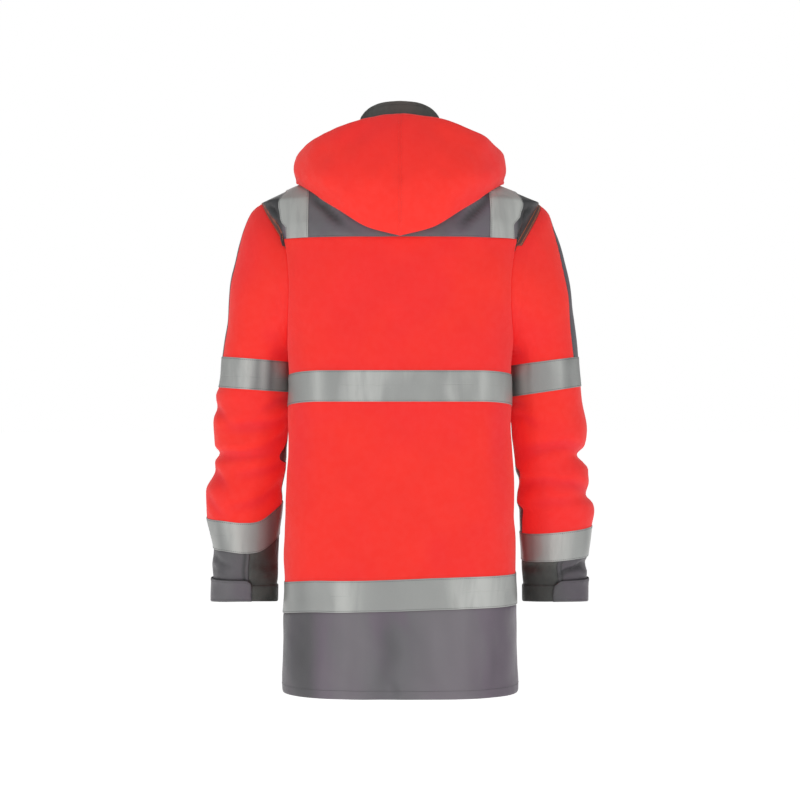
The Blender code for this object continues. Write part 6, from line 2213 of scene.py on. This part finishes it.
def soft_light(name, place, size, power):
    data = bpy.data.lights.new(name, "AREA")
    data.shape = "RECTANGLE"
    data.size, data.size_y = size
    data.energy = power
    lamp = bpy.data.objects.new(name, data)
    lamp.location = place
    lamp.rotation_euler = (Vector(LOOK_AT) - Vector(place)).to_track_quat("-Z", "Y").to_euler()
    bpy.context.collection.objects.link(lamp)


class JACKET_OT_stage(bpy.types.Operator):
    """Make the floor, the lights and the camera"""

    bl_idname = "jacket.make_stage"
    bl_label = "Stage"

    def execute(self, context):
        _, _, stage = settings()
        data = bpy.data.cameras.new("camera")
        data.lens = stage.lens
        data.sensor_width = SENSOR_WIDTH
        camera = bpy.data.objects.new("camera", data)
        camera.location = (0.0, stage.distance, stage.height)
        camera.rotation_euler = (math.radians(90), 0.0, math.radians(180))
        bpy.context.collection.objects.link(camera)
        context.scene.camera = camera
        context.scene.view_settings.view_transform = "Standard"

        n = Nodes("pale_floor")
        n.surface(colour=(0.93, 0.93, 0.93), roughness=0.8, specular=0.2, glow=(1.0, 1.0, 1.0),
                  glow_strength=FLOOR_GLOW)
        bm = bmesh.new()
        bmesh.ops.create_circle(bm, cap_ends=True, segments=96, radius=FLOOR_RADIUS)
        bmesh.ops.translate(bm, verts=bm.verts[:], vec=(0, 0, stage.floor))
        mesh = bpy.data.meshes.new("floor")
        bm.to_mesh(mesh)
        bm.free()
        link("floor", mesh, [n.material])

        world = bpy.data.worlds.new("white_studio")
        context.scene.world = world
        world.use_nodes = True
        tree = world.node_tree
        background = tree.nodes["Background"]
        background.inputs["Color"].default_value = (1.0, 1.0, 1.0, 1.0)
        path = tree.nodes.new("ShaderNodeLightPath")
        strength = tree.nodes.new("ShaderNodeMapRange")
        strength.inputs["To Min"].default_value = stage.ambient
        strength.inputs["To Max"].default_value = 1.0
        tree.links.new(path.outputs["Is Camera Ray"], strength.inputs["Value"])
        tree.links.new(strength.outputs["Result"], background.inputs["Strength"])
        soft_light("key", (0.35, 3.9, 0.15), (1.7, 1.9), stage.key)
        for side in SIDES:
            soft_light("streak_" + side, (SIGN[side] * 2.5, 2.8, 0.0), (0.4, 2.4), stage.streak)
        soft_light("front_fill", (0.6, -3.4, 0.5), (1.8, 1.8), stage.fill)
        for side in SIDES:
            soft_light(side + "_fill", (SIGN[side] * 3.2, 0.8, 0.3), (1.4, 1.8), stage.fill * 0.5)
        soft_light("top", (0.0, 0.6, 2.6), (1.6, 1.6), stage.fill * 0.5)
        return {"FINISHED"}


# ---------------------------------------------------------------- panel and main

OPERATORS = (JACKET_OT_stage, JACKET_OT_body, JACKET_OT_body_tapes, JACKET_OT_sleeves, JACKET_OT_cuffs,
             JACKET_OT_collar, JACKET_OT_hood, JACKET_OT_zip, JACKET_OT_slider, JACKET_OT_stitches)


class JACKET_PT_panel(bpy.types.Panel):
    """Sizes, colours and steps of the jacket"""

    bl_idname = "JACKET_PT_panel"
    bl_label = "Work Jacket"
    bl_space_type = "VIEW_3D"
    bl_region_type = "UI"
    bl_category = "Jacket"

    def draw(self, context):
        layout = self.layout
        for group in (context.scene.jacket_sizes, context.scene.jacket_colours, context.scene.jacket_stage):
            box = layout.box()
            for name in group.bl_rna.properties.keys():
                if name not in ("rna_type", "name"):
                    box.prop(group, name)
        for operator in OPERATORS:
            layout.operator(operator.bl_idname)


GROUPS = {"jacket_sizes": JacketSizes, "jacket_colours": JacketColours, "jacket_stage": JacketStage}


def register():
    for group in GROUPS.values():
        bpy.utils.register_class(group)
    for name, group in GROUPS.items():
        setattr(bpy.types.Scene, name, bpy.props.PointerProperty(type=group))
    for operator in (*OPERATORS, JACKET_PT_panel):
        bpy.utils.register_class(operator)


def unregister():
    for operator in (JACKET_PT_panel, *reversed(OPERATORS)):
        bpy.utils.unregister_class(operator)
    for name, group in GROUPS.items():
        delattr(bpy.types.Scene, name)
        bpy.utils.unregister_class(group)


def corners(box):
    return [[float(value) for value in corner] for corner in box]


def main():
    register()
    for operator in OPERATORS:
        group, name = operator.bl_idname.split(".")
        getattr(getattr(bpy.ops, group), name)()


if __name__ == "__main__":
    main()
